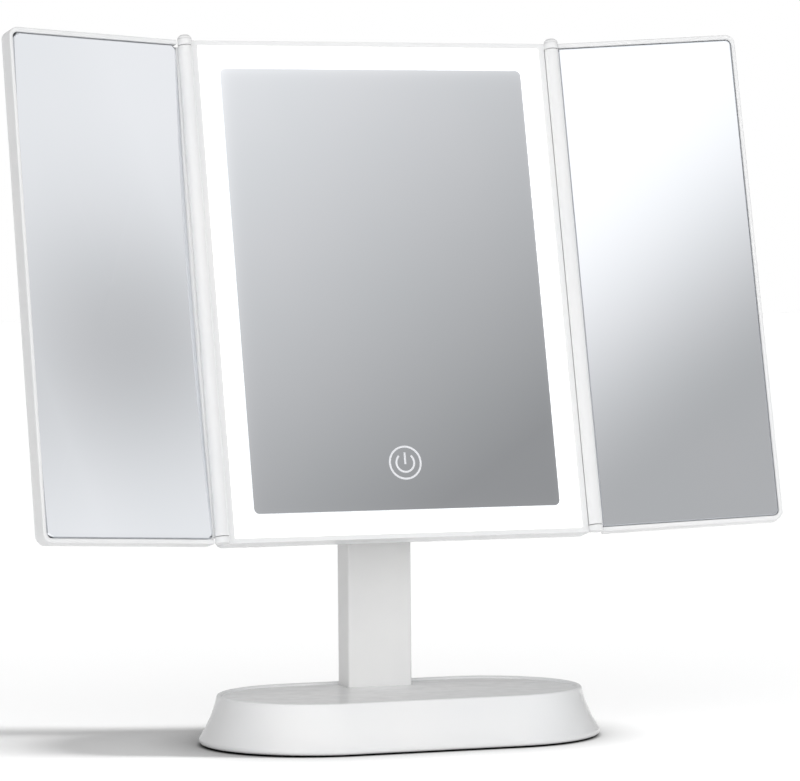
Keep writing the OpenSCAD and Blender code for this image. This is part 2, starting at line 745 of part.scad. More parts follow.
module mirror_chassis() color(white) head_place() {
    difference() {
        union() {
            slab(chassis_w, chassis_h, panel_corner, chassis_y, chassis_back_y);
            frame(chassis_w, chassis_h, panel_corner, chassis_w - 2*chassis_wall, chassis_h - 2*chassis_wall,
                  chassis_y, flange_back_y);
            frame(flange_out_w, flange_out_h, panel_corner, chassis_w - 1, chassis_h - 1,
                  flange_y, flange_back_y);
            for (p = housing_screw_places) translate([p.x, 0, p.y])
                rod_y(3, chassis_back_y - eps, flange_back_y);
            for (p = ctrl_post_places) translate([p.x, 0, p.y]) rod_y(2.5, chassis_back_y - eps, ctrl_y);
        }
        translate([0, 0, bay_z])
            slab(bay_w + 2*bay_wall + 1, bay_h + 2*bay_wall + 1, 1.5, 0, chassis_back_y + 1);
        translate([0, 0, icon_z]) rod_y(touch_r + 1.5, 0, chassis_back_y + 1);
        for (p = housing_screw_places) translate([p.x, 0, p.y])
            rod_y(housing_screw_r, chassis_y + 1, panel_t);
        for (p = ctrl_post_places) translate([p.x, 0, p.y]) rod_y(0.9, chassis_y + 1, panel_t);
    }
}

module led_board() color(pearl) head_place() {
    frame(led_out_w, led_out_h, 1, led_in_w, led_in_h, flange_y - board_t, flange_y);
}

// One light chip lying on the board
module chip(length, width) {
    translate([-length/2, flange_y - board_t - chip_t, -width/2]) cube([length, chip_t, width]);
}

module led_chips() color([1, 0.95, 0.75]) head_place() {
    across = floor((led_mid_w - 20)/chip_pitch);
    upright = floor((led_mid_h - 8)/chip_pitch);
    for (i = [0:across], side = [-1, 1]) translate([(i - across/2)*chip_pitch, 0, side*led_mid_h/2])
        chip(chip_len, chip_w);
    for (i = [0:upright], side = [-1, 1]) translate([side*led_mid_w/2, 0, (i - upright/2)*chip_pitch])
        chip(chip_w, chip_len);
}

module control_board() color(board_green) head_place() {
    difference() {
        translate([0, 0, ctrl_z]) slab(ctrl_w, ctrl_h, 1.5, ctrl_y, ctrl_back_y);
        for (p = ctrl_post_places) translate([p.x, 0, p.y]) rod_y(1.1, ctrl_y - 1, ctrl_back_y + 1);
    }
}

// A block that stands on the back of the control board: centre, size across, size up, height
module on_board(x, z, w, h, t) {
    translate([x - w/2, ctrl_back_y, ctrl_z + z - h/2]) cube([w, t, h]);
}

module board_components() color([0.15, 0.15, 0.16]) head_place() {
    on_board(-0.15*ctrl_w, 0, chip_side, chip_side, 1);
    on_board(0.07*ctrl_w, 0, chip_side*0.7, chip_side*0.7, 2.6);
    for (sz = [-1, 1]) {
        on_board(-0.32*ctrl_w, sz*0.16*ctrl_h, chip_side*0.6, chip_side*0.4, 1.2);
        on_board(0, sz*(ctrl_h - connector_h)/2, connector_w, connector_h, connector_d);
    }
    on_board(0.2*ctrl_w, 0.25*ctrl_h, chip_side*0.4, chip_side*0.8, 1.6);
}

module board_screws() color(steel) head_place() {
    for (p = ctrl_post_places) translate([p.x, 0, p.y]) {
        rod_y(0.9, chassis_y + 1.2, ctrl_back_y + 0.5);
        rod_y(1.9, ctrl_back_y, ctrl_back_y + 1.2);
    }
}

module charging_inlet() color(silver) head_place() {
    translate([inlet_x, 0, inlet_z]) {
        depthwise(ctrl_back_y, panel_t - 0.4) difference() {
            rounded(inlet_w, inlet_h, 1.4);
            rounded(inlet_w - 0.6, inlet_h - 0.6, 1.1);
        }
        slab(inlet_w - 0.4, inlet_h - 0.4, 1.2, ctrl_back_y, ctrl_back_y + 1.2);
        slab(inlet_w - 2.4, 0.7, 0.3, ctrl_back_y + 1, panel_t - 1.4);
    }
}

module touch_spring() color(copper) head_place() {
    translate([0, ctrl_y, icon_z]) rotate([90, 0, 0])
        coil(touch_r, touch_r - 1.2, ctrl_y - glass_back_y, 4, spring_wire_r);
}

module touch_symbol() color([0.92, 0.92, 0.94]) head_place() {
    arc_r = icon_r*0.6;
    bar_low = -arc_r*0.15;
    translate([0, 0, icon_z]) depthwise(mirror_recess - icon_t, mirror_recess) {
        difference() {
            circle(icon_r);
            circle(icon_r - icon_line);
        }
        difference() {
            circle(arc_r);
            circle(arc_r - icon_line);
            polygon([[0, 0], [-arc_r, arc_r*1.1], [arc_r, arc_r*1.1]]);
        }
        translate([-icon_line/2, bar_low]) square([icon_line, arc_r - bar_low]);
    }
}

// Places of the cells: x of the cell and the end at which its spring stands
cells = [for (i = [0:cell_count - 1]) [(i - (cell_count - 1)/2)*cell_pitch, i % 2 == 0 ? -1 : 1]];

module battery_cells() color([0.25, 0.30, 0.42]) head_place() {
    for (c = cells) translate([c.x, cell_y, bay_z]) scale([1, 1, c.y])
        translate([0, 0, -bay_h/2 + contact_t + spring_len]) {
            cylinder(r = cell_d/2, h = cell_len);
            translate([0, 0, cell_len - eps]) cylinder(r = cell_d*0.18, h = cell_tip + eps);
        }
}

module battery_contacts() color(silver) head_place() {
    contact_w = cell_pitch - 1.5;
    for (c = cells) translate([c.x, cell_y, bay_z]) {
        for (end = [-1, 1]) translate([-contact_w/2, -4, end*(bay_h/2 - contact_t/2) - contact_t/2])
            cube([contact_w, 7.6, contact_t]);
        scale([1, 1, c.y]) translate([0, 0, -bay_h/2 + contact_t])
            coil(3.4, 2.4, spring_len, 4, spring_wire_r);
    }
}

module battery_door() color(white) head_place() {
    tab_x = bay_w/2 - 0.9;
    translate([0, 0, bay_z]) difference() {
        union() {
            slab(bay_w + 2*door_ledge - 2*door_gap, bay_h + 2*door_ledge - 2*door_gap, 1.3,
                 door_y, panel_t - 0.1);
            for (sx = [-1, 1], sz = [-1, 1]) translate([sx*tab_x, 0, sz*(bay_h/2 - 9)])
                slab(1, 8, 0.3, door_y - 1.4, door_y + 0.1);
        }
        for (i = [-2:2]) translate([0, 0, bay_h/2 - 7 + i*1.6])
            slab(16, 0.7, 0.3, panel_t - 0.5, panel_t + 1);
    }
}

module tilt_bracket() color([0.86, 0.86, 0.87]) head_place() {
    difference() {
        union() {
            translate([0, 0, -pivot_drop]) slab(bracket_w, bracket_h, 3, panel_t, panel_t + bracket_t);
            translate([-knuckle_w/2, panel_t + bracket_t - 1, -pivot_drop - knuckle_r])
                cube([knuckle_w, pivot_depth - panel_t - bracket_t + 1, 2*knuckle_r]);
            translate([0, pivot_depth, -pivot_drop]) rod_x(knuckle_r, -knuckle_w/2, knuckle_w/2);
        }
        translate([0, pivot_depth, -pivot_drop]) rod_x(bolt_r + run_gap, -knuckle_w, knuckle_w);
        for (p = bracket_screw_places) translate([p.x, 0, p.y]) {
            rod_y(bracket_screw_r, panel_t - 1, panel_t + 10);
            translate([0, panel_t + bracket_t - bracket_screw_r, 0]) rotate([-90, 0, 0])
                cylinder(r1 = bracket_screw_r, r2 = bracket_screw_r*2, h = bracket_screw_r);
        }
    }
}

module bracket_screws() color(steel) head_place() {
    for (p = bracket_screw_places) translate([p.x, 0, p.y]) difference() {
        union() {
            rod_y(bracket_screw_r, chassis_back_y + 3.5, panel_t + bracket_t - bracket_screw_r);
            translate([0, panel_t + bracket_t - bracket_screw_r, 0]) rotate([-90, 0, 0])
                cylinder(r1 = bracket_screw_r, r2 = bracket_screw_r*2, h = bracket_screw_r);
        }
        rotate([-90, 0, 0]) translate([0, 0, panel_t + bracket_t - 1]) cylinder(r = 1.1, h = 2, $fn = 6);
    }
}

module housing_screws() color(steel) head_place() {
    head_y = panel_t - housing_screw_sink - screw_head_t;
    for (p = housing_screw_places) translate([p.x, 0, p.y]) difference() {
        union() {
            rod_y(housing_screw_r, chassis_y + 1.2, head_y + 0.5);
            rod_y(housing_screw_head_r, head_y, head_y + screw_head_t);
        }
        rotate([-90, 0, 0]) translate([0, 0, head_y + screw_head_t - 0.8]) cylinder(r = 0.9, h = 2, $fn = 6);
    }
}

module wiring() color([0.75, 0.15, 0.12]) head_place() {
    wire_r = 0.6;
    wire_y = ctrl_back_y + connector_d - wire_r - 0.3;
    bay_low_z = bay_z - bay_h/2 - bay_wall;
    board_top_z = ctrl_z + ctrl_h/2;
    board_low_z = ctrl_z - ctrl_h/2;
    led_z = -led_mid_h/2;
    for (sx = [-1, 1]) translate([sx*connector_w/4, 0, 0]) {
        translate([0, wire_y, board_top_z]) cylinder(r = wire_r, h = bay_low_z - board_top_z);
        translate([0, wire_y, led_z]) cylinder(r = wire_r, h = board_low_z - led_z);
        translate([0, wire_y, led_z]) sphere(wire_r*1.08);
        translate([0, 0, led_z]) rod_y(wire_r, flange_back_y, wire_y);
    }
}

// ---------- Wings, drawn as the right one: x outwards from the hinge axis, y behind it ----------

// Puts a wing on its hinge axis: side -1 is the left one
module wing_place(side) {
    head_place() translate([side*hinge_x, -hinge_front, 0]) scale([side, 1, 1])
        rotate([0, 0, -fold_rest]) children();
}

// A wing's outline in x and z, with its two outer corners rounded
module wing_outline(inset) {
    w = wing_out - wing_s0 - inset;
    h = panel_h - 2*inset;
    r = max(wing_corner - inset, 0.5);
    translate([wing_s0, -h/2]) square([w - r, h]);
    translate([wing_s0, -h/2 + r]) square([w, h - 2*r]);
    for (end = [-1, 1]) translate([wing_s0 + w - r, end*(h/2 - r)]) circle(r);
}

// A wing mirror's outline, grown by a gap
module wing_glass_outline(gap) {
    r = 2.6 + gap;
    w = wing_mirror_w + gap;
    h = wing_mirror_h + 2*gap;
    translate([wing_s0, -h/2]) square([w - r, h]);
    translate([wing_s0, -h/2 + r]) square([w, h - 2*r]);
    for (end = [-1, 1]) translate([wing_s0 + w - r, end*(h/2 - r)]) circle(r);
}

module wing_frame(side) color(white) wing_place(side) {
    difference() {
        union() {
            depthwise(wing_front, wing_seam_y) wing_outline(0);
            translate([0, 0, -barrel_end_z]) cylinder(r = barrel_r, h = 2*barrel_end_z);
            translate([root_s, wing_front + 1.4, -barrel_end_z])
                cube([wing_s0 - root_s + 1, wing_seam_y - wing_front - 1.4, 2*barrel_end_z]);
        }
        depthwise(wing_front - 1, wing_floor_y) wing_glass_outline(mirror_gap);
        for (end = [-1, 1]) scale([1, 1, end]) translate([0, 0, barrel_end_z - bush_len - 1])
            cylinder(r = bush_r, h = bush_len + 2);
    }
}

module hinge_bushes(side) color([0.95, 0.95, 0.9]) wing_place(side) {
    for (end = [-1, 1]) scale([1, 1, end]) translate([0, 0, barrel_end_z - bush_len]) difference() {
        cylinder(r = bush_r, h = bush_len);
        translate([0, 0, -1]) cylinder(r = pin_r + run_gap, h = bush_len + 2);
    }
}

module wing_back(side) color(white) wing_place(side) {
    edge = 1.4;
    end_y = wing_front + wing_t;
    hull() {
        depthwise(wing_seam_y, end_y - edge) wing_outline(0, $fn = 32);
        depthwise(end_y - eps, end_y) wing_outline(edge, $fn = 32);
    }
}

// The glass: flat on the right, dished on the left by a cap of a large sphere
module wing_mirror(side) color(silver) wing_place(side) {
    edge_t = side < 0 ? lens_edge_t : glass_t;
    difference() {
        depthwise(wing_glass_y, wing_glass_y + edge_t) wing_glass_outline(0);
        if (side < 0) translate([wing_s0 + wing_mirror_w/2, wing_glass_y, 0]) rotate([-90, 0, 0]) lens_cut();
    }
}

// The spherical cap that dishes the magnifying mirror, rising along z from its rim
module lens_cut() {
    steps = 24;
    rim = norm([wing_mirror_w, wing_mirror_h])/2;
    arc = [for (i = [0:steps]) let (r = rim*i/steps) [r, lens_sag - lens_radius + sqrt(lens_radius^2 - r^2)]];
    rotate_extrude($fn = 96) polygon(concat([[0, -1]], arc, [[rim, -1]]));
}

module wing_pad(side) color([0.3, 0.3, 0.3]) wing_place(side) {
    edge_t = side < 0 ? lens_edge_t : glass_t;
    depthwise(wing_glass_y + edge_t, wing_floor_y) translate([wing_s0 + wing_mirror_w/2, 0])
        rounded(wing_mirror_w - 2*pad_margin, wing_mirror_h - 2*pad_margin, 2);
}

base_shell();
base_plate();
ballast_plate();
foot_pad();
base_screws();
stem_tube();
stem_foot();
foot_screws();
stem_yoke();
tilt_bolt();
tilt_nut();
friction_washers();
pivot_caps();
front_frame();
rear_housing();
light_diffuser();
centre_mirror();
mirror_tape();
mirror_chassis();
led_board();
led_chips();
control_board();
board_components();
board_screws();
charging_inlet();
touch_spring();
touch_symbol();
battery_cells();
battery_contacts();
tilt_bracket();
bracket_screws();
housing_screws();
hinge_pins();
hinge_caps();
wiring();
battery_door();
wing_frame(-1);  // wing_frame_left
wing_back(-1);  // wing_back_left
wing_mirror(-1);  // wing_mirror_left
wing_pad(-1);  // wing_pad_left
hinge_bushes(-1);  // hinge_bushes_left
wing_frame(1);  // wing_frame_right
wing_back(1);  // wing_back_right
wing_mirror(1);  // wing_mirror_right
wing_pad(1);  // wing_pad_right
hinge_bushes(1);  // hinge_bushes_right
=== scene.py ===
"""Trifold vanity mirror: the visible surfaces, finishes, studio and camera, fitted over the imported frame.

Sizes are millimetres in each drawing frame, and metres once a Place has carried them into the row frame.
Depths named front, back, seam, step or floor with _y are measured backwards from the drawing's front plane.
"""

import json
import logging
import math
from collections.abc import Callable
from dataclasses import dataclass, field
from enum import Enum
from typing import ClassVar

import bmesh
import bpy
import numpy as np
from mathutils import Matrix


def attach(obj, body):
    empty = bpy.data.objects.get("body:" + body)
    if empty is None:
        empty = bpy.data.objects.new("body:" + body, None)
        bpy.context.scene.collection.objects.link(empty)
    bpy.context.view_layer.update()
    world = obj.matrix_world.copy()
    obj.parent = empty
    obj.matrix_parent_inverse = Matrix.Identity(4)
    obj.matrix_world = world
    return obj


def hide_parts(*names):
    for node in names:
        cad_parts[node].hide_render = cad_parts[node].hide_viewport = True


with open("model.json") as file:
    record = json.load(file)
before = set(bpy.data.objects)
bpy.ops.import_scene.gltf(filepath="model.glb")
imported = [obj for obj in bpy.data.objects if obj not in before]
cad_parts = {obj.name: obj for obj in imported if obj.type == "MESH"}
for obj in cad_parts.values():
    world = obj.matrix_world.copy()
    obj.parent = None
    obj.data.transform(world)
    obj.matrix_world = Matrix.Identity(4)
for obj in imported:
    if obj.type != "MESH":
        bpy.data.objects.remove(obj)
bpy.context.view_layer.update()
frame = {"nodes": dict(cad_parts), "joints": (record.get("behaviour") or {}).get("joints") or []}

log = logging.getLogger("vanity mirror")

Tree, Socket, Thing = bpy.types.NodeTree, bpy.types.NodeSocket, bpy.types.Object

MM = 0.001
WELD = 2e-6  # metres within which two corners are one
MIRROR_HALF = (75.45, 106.1)  # half width and half height of the centre mirror, in mm
SEAM = 0.5  # mm by which the edges of the glass are seamed
CORNERS = ((-1, -1), (-1, 1), (1, -1), (1, 1))  # signs of a rectangle's corners
STEM_HALF = (15.9, 8.0)  # half width and half depth of the stem, in mm
STEM_Y = 36.382  # mm by which the stem's middle stands behind the origin
BARREL_RADIUS = 3.3  # radius of the hinge barrels, in mm
NOISE = (0.3, 0.7)  # the range that holds most values of a noise pattern
DEGREE = 180 / math.pi
FLOOR_REACH = 14.0  # metres from the origin to the floor's edges
WHITE = (1.0, 1.0, 1.0, 1.0)


# ---------- Drawing frames ----------


@dataclass(frozen=True, eq=False)
class Place:
    """A drawing frame in the row frame.

    Attributes:
        origin: the drawing's origin, in metres.
        axes: three rows, the row-frame directions of the drawing's x, y and z.
    """

    origin: np.ndarray
    axes: np.ndarray

    def carry(self, points: np.ndarray) -> np.ndarray:
        """Puts points where they stand: origin + MM (x X + y Y + z Z).

        Args:
            points: any shape (..., 3), in millimetres.

        Returns:
            The same shape in metres, in the row frame.
        """
        return self.origin + MM * (points @ self.axes)


def record_joint(name: str) -> dict:
    """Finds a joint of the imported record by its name."""
    return next(j for j in frame["joints"] if j["name"] == name)


class Side(Enum):
    """The two wings, with the sign of x on which each stands."""

    LEFT = -1
    RIGHT = 1


GROUND = Place(np.zeros(3), np.eye(3))


def head_place() -> Place:
    """The head's frame: x across, y behind the front face, z up the panel, origin at the middle of the face.

    The panel's up direction is a wing hinge's axis, and the hinges stand 1 mm in front of the face.

    Returns:
        The head's Place.
    """
    hinges = [record_joint(f"{side.name.lower()}_wing_fold") for side in Side]
    up = np.abs(np.array(hinges[0]["axis"], float))
    back = np.array([0.0, up[2], -up[1]])
    middle = np.mean([h["pos_m"] for h in hinges], axis=0)
    return Place(middle + 1.0 * MM * back, np.array([[1.0, 0.0, 0.0], back, up]))


def wing_place(side: Side) -> Place:
    """A wing's frame: x outwards from its hinge axis, y behind it, z up, turned by its fold at rest.

    Args:
        side: which wing.

    Returns:
        The wing's Place; the left one is a mirror image, so its shells are turned right way out later.
    """
    hinge = record_joint(f"{side.name.lower()}_wing_fold")
    fold = math.radians(-hinge["range_deg"][0])
    across, back, up = head_place().axes
    out = side.value * across
    axes = np.array([math.cos(fold) * out - math.sin(fold) * back,
                     math.sin(fold) * out + math.cos(fold) * back, up])
    return Place(np.array(hinge["pos_m"], float), axes)


# ---------- Surfaces worked out as whole arrays ----------


class Lie(Enum):
    """How a ring's two directions and its depth lie in the drawing: the columns taken for x, y and z."""

    FACING = (0, 2, 1)
    FLAT = (0, 1, 2)
    SIDEWAYS = (2, 0, 1)

    def lay(self, grid: np.ndarray) -> np.ndarray:
        """Reorders the last axis of a grid of (a, b, depth)."""
        return grid[..., list(self.value)]


def columns(*parts: np.ndarray) -> np.ndarray:
    """Lays arrays side by side along a new last axis, each stretched to the widest shape."""
    return np.stack(np.broadcast_arrays(*parts), axis=-1)


def eased(corners: list, ease: list, steps: int = 4, closed: bool = False) -> np.ndarray:
    """Rounds the corners of a run of stations.

    A corner P with ease e becomes (1-t)^2 A + 2 t (1-t) P + t^2 B for t from 0 to 1, where A and B lie on the two
    sides that meet in P, e away from it. A corner with ease 0 stays as it is.

    Args:
        corners: the stations, each a row of numbers such as (half width, half height, radius, depth).
        ease: the ease of each corner.
        steps: segments of each rounding.
        closed: whether the last station joins the first.

    Returns:
        The rounded run, one station per row.
    """
    run = np.array(corners, float)
    t = np.linspace(0.0, 1.0, steps + 1)[:, None]
    out = []
    for i, e in enumerate(ease):
        ends = not closed and i in (0, len(run) - 1)
        if e <= 0 or ends:
            out.append(run[i:i + 1])
            continue
        here, before, after = run[i], run[i - 1], run[(i + 1) % len(run)]
        near = here + (before - here) * e / np.linalg.norm(before - here)
        far = here + (after - here) * e / np.linalg.norm(after - here)
        out.append((1 - t) ** 2 * near + 2 * t * (1 - t) * here + t**2 * far)
    return np.concatenate(out)


def rings(stations: np.ndarray, share: tuple = (1, 1, 1, 1), steps: int = 8) -> np.ndarray:
    """Round-cornered rectangles at a run of stations.

    At angle t of the corner with signs (p, q): a = p (A - r) + r cos t and b = q (B - r) + r sin t.

    Args:
        stations: (M, 4) half width A, half height B, corner radius r and depth.
        share: the part of r that each corner has, from the first quadrant round.
        steps: segments of each corner.

    Returns:
        (M, N, 3) a, b and depth.
    """
    quarter = np.linspace(0.0, 90.0, steps + 1)
    t = np.radians(np.concatenate([quarter + turn for turn in (0, 90, 180, 270)]))
    p = np.repeat([1, -1, -1, 1], steps + 1)
    q = np.repeat([1, 1, -1, -1], steps + 1)
    wide, high, radius, depth = (column[:, None] for column in np.asarray(stations, float).T)
    r = radius * np.repeat(share, steps + 1)
    return columns(p * (wide - r) + r * np.cos(t), q * (high - r) + r * np.sin(t), depth)


def turned(profile: np.ndarray, sides: int = 56) -> np.ndarray:
    """A profile turned round the depth axis: a = r cos t, b = r sin t.

    Args:
        profile: (M, 2) radius and depth.
        sides: points of each ring.

    Returns:
        (M, sides, 3) a, b and depth.
    """
    t = np.linspace(0.0, 2 * math.pi, sides, endpoint=False)
    radius, depth = (column[:, None] for column in np.asarray(profile, float).T)
    return columns(radius * np.cos(t), radius * np.sin(t), depth)


def round_stadium(profile: np.ndarray, straight: float, steps: int = 72) -> np.ndarray:
    """A profile carried round a stadium: a = s L + d cos t, b = d sin t, with s the sign of the end.

    Args:
        profile: (M, 2) distance d from the middle line, and height.
        straight: half the length L of the straight part.
        steps: segments of each half circle.

    Returns:
        (M, N, 3) a, b and height.
    """
    half = np.linspace(-90.0, 90.0, steps + 1)
    t = np.radians(np.concatenate([half, half + 180]))
    end = np.repeat([1.0, -1.0], steps + 1)
    d, height = (column[:, None] for column in np.asarray(profile, float).T)
    return columns(end * straight + d * np.cos(t), d * np.sin(t), height)


def slab(half_a: float, half_b: float, radius: float, low: float, high: float, ease: float = 0.0) -> np.ndarray:
    """Stations of a plate with its second face's edge eased; see rings."""
    small = max(radius - ease, 0.05)
    return eased([[half_a, half_b, radius, low], [half_a, half_b, radius, high],
                  [half_a - 2 * ease - 0.01, half_b - 2 * ease - 0.01, small, high]], [0, ease, 0])


def bar(half_a: float, half_b: float, radius: float, low: float, high: float, share: tuple = (1, 1, 1, 1),
        steps: int = 8) -> np.ndarray:
    """The two end rings of a straight round-cornered bar from low to high; see rings."""
    return rings(np.array([[half_a, half_b, radius, depth] for depth in (low, high)]), share, steps)


def seamed(half: tuple, radius: float, front: float, back: float, share: tuple = (1, 1, 1, 1)) -> np.ndarray:
    """The rings of a glass plate from front to back, both its edges drawn in by SEAM; see rings."""
    (a, b), r = half, radius
    near, far = (a - SEAM, b - SEAM, r - SEAM), (a, b, r)
    return rings(np.array([[*near, front], [*far, front + SEAM], [*far, back - SEAM], [*near, back]]), share, 12)


def carried(outline: Callable[[np.ndarray], np.ndarray], low: float, high: float, ease: float,
            steps: int) -> np.ndarray:
    """Carries an outline from low to high with both its edges eased.

    For t from 0 to a quarter turn it is drawn in by e (1 - sin t) at e (1 - cos t) from each end.

    Args:
        outline: gives (M, N, 2) outlines for M insets.
        low: depth of the first end.
        high: depth of the second end.
        ease: the ease e.
        steps: stations of each easing.

    Returns:
        (M, N, 3) outlines with their depths.
    """
    t = np.linspace(0, math.pi / 2, steps)
    inset, step = ease * (1 - np.sin(t)), ease * (1 - np.cos(t))
    flat = outline(np.concatenate([inset, inset[::-1]]))
    depth = np.concatenate([low + step, (high - step)[::-1]])
    return columns(flat[..., 0], flat[..., 1], depth[:, None])


# ---------- Pieces ----------


class Piece:
    """One piece of the object: closed shells gathered into a mesh that lies in the row frame."""

    def __init__(self, name: str, place: Place = GROUND) -> None:
        """Starts an empty piece.

        Args:
            name: the piece's name.
            place: the drawing frame of its shells.
        """
        self.name = name
        self.place = place
        self.corners: list = []
        self.faces: list = []
        self.finishes: list = []
        self.count = 0
        self.sides = 0

    def shell(self, grid: np.ndarray, lie: Lie = Lie.FACING, at: tuple = (0, 0, 0), loop: bool = False,
              finish: int = 0, lids: tuple = (0, 0)) -> "Piece":
        """Adds a closed shell made of rings.

        Point k of ring i is joined to point k + 1 and to ring i + 1. The first and last rings are closed by flat
        lids, or joined to each other where the rings make a loop.

        Args:
            grid: (M, N, 3) rings.
            lie: how their columns lie in the drawing.
            at: the shell's place in the drawing.
            loop: whether the last ring joins the first.
            finish: index of the finish of the sides.
            lids: indices of the finishes of the two lids.

        Returns:
            The piece itself.
        """
        m, n = grid.shape[:2]
        points = lie.lay(grid) + np.array(at, float)
        i = np.arange(m if loop else m - 1)[:, None]
        k = np.arange(n)[None, :]
        here, there = (i % m) * n, ((i + 1) % m) * n
        nxt = (k + 1) % n
        quads = np.stack([here + k, here + nxt, there + nxt, there + k], axis=-1).reshape(-1, 4) + self.count
        self.faces += quads.tolist()
        self.finishes += [finish] * len(quads)
        if not loop:
            lid = self.count + np.arange(n)
            self.faces += [lid[::-1].tolist(), (lid + (m - 1) * n).tolist()]
            self.finishes += list(lids)
        self.corners.append(self.place.carry(points).reshape(-1, 3))
        self.count += m * n
        self.sides = n
        return self

    def refinish(self, first: int, stop: int, finish: int) -> None:
        """Gives the strips first..stop of the only shell another finish."""
        self.finishes[first * self.sides:stop * self.sides] = [finish] * ((stop - first) * self.sides)

    def make(self) -> Thing:
        """Puts the shells into a mesh object, merges doubled corners and turns every face outwards."""
        mesh = bpy.data.meshes.new(self.name)
        mesh.from_pydata(np.concatenate(self.corners).tolist(), [], self.faces)
        mesh.polygons.foreach_set("material_index", np.array(self.finishes, np.int32))
        mesh.update()
        work = bmesh.new()
        work.from_mesh(mesh)
        bmesh.ops.remove_doubles(work, verts=work.verts, dist=WELD)
        bmesh.ops.dissolve_degenerate(work, edges=work.edges, dist=WELD / 4)
        bmesh.ops.recalc_face_normals(work, faces=work.faces)
        work.to_mesh(mesh)
        work.free()
        made = bpy.data.objects.new(self.name, mesh)
        bpy.context.scene.collection.objects.link(made)
        return made


def carve(target: Thing, tool: Piece, operation: str = "DIFFERENCE") -> None:
    """Cuts a piece by another, or joins it on, and keeps the result as plain mesh.

    Args:
        target: the piece that is changed.
        tool: the shells that cut or join, which are removed afterwards.
        operation: DIFFERENCE or UNION.
    """
    other = tool.make()
    step = target.modifiers.new("cut", "BOOLEAN")
    step.operation, step.object, step.solver = operation, other, "EXACT"
    bpy.context.view_layer.update()
    done = bpy.data.meshes.new_from_object(target.evaluated_get(bpy.context.evaluated_depsgraph_get()))
    target.modifiers.remove(step)
    old = target.data
    target.data = done
    done.name = target.name
    bpy.data.meshes.remove(old)
    bpy.data.objects.remove(other)


# ---------- Finishes ----------


def linear(code: str) -> tuple:
    """Turns an sRGB hex colour to linear red, green, blue and an alpha of 1."""
    parts = np.array([int(code[i:i + 2], 16) for i in (1, 3, 5)]) / 255.0
    values = np.where(parts <= 0.04045, parts / 12.92, ((parts + 0.055) / 1.055) ** 2.4)
    return (*values.tolist(), 1.0)


def add_node(tree: Tree, kind: str, inputs: dict | None = None, **settings) -> bpy.types.Node:
    """Adds a node with its settings, socket values and links.

    Args:
        tree: the tree that gets the node.
        kind: the node's type without its ShaderNode prefix.
        inputs: value or source socket for each input, by name or index.
        **settings: properties of the node.

    Returns:
        The node.
    """
    node = tree.nodes.new("ShaderNode" + kind)
    for key, value in settings.items():
        setattr(node, key, value)
    for key, value in (inputs or {}).items():
        if isinstance(value, Socket):
            tree.links.new(value, node.inputs[key])
        else:
            node.inputs[key].default_value = value
    return node


def outputs(tree: Tree, kind: str, inputs: dict | None = None, **settings) -> dict:
    """Adds a node as add_node does, and gives its outputs by name."""
    return {socket.name: socket for socket in add_node(tree, kind, inputs, **settings).outputs}


def grain(tree: Tree, size_mm: float, detail: float = 2.0, stretch: tuple = (1, 1, 1)) -> Socket:
    """Noise whose lumps are about size_mm across, times stretch along x, y and z, on Object coordinates."""
    where = add_node(tree, "TexCoord").outputs["Object"]
    if stretch != (1, 1, 1):
        scale = tuple(1.0 / s for s in stretch)
        where = add_node(tree, "Mapping", {"Vector": where, "Scale": scale}).outputs[0]
    return add_node(tree, "TexNoise", {"Vector": where, "Scale": 1.0 / (size_mm * MM), "Detail": detail}).outputs[0]


def solve(tree: Tree, known: dict, rows: list) -> dict:
    """Works a table of formulas out on a shader tree.

    A row is a result's name, an operation and its inputs. The operation is one of the Math node's, or LINEAR or
    SMOOTHSTEP, which take a value from one range (start, stop) to another (low, high) with both ends held.

    Args:
        tree: the tree that gets the nodes.
        known: sockets and numbers by name.
        rows: the table; an input is a number, a socket or the name of something known or worked out before.

    Returns:
        Everything known and worked out, by name.
    """
    values = dict(known)
    for result, operation, *inputs in rows:
        sockets = {i: values[v] if isinstance(v, str) else v for i, v in enumerate(inputs)}
        if operation in ("LINEAR", "SMOOTHSTEP"):
            node = add_node(tree, "MapRange", sockets, interpolation_type=operation)
        else:
            node = add_node(tree, "Math", sockets, operation=operation)
        values[result] = node.outputs[0]
    return values


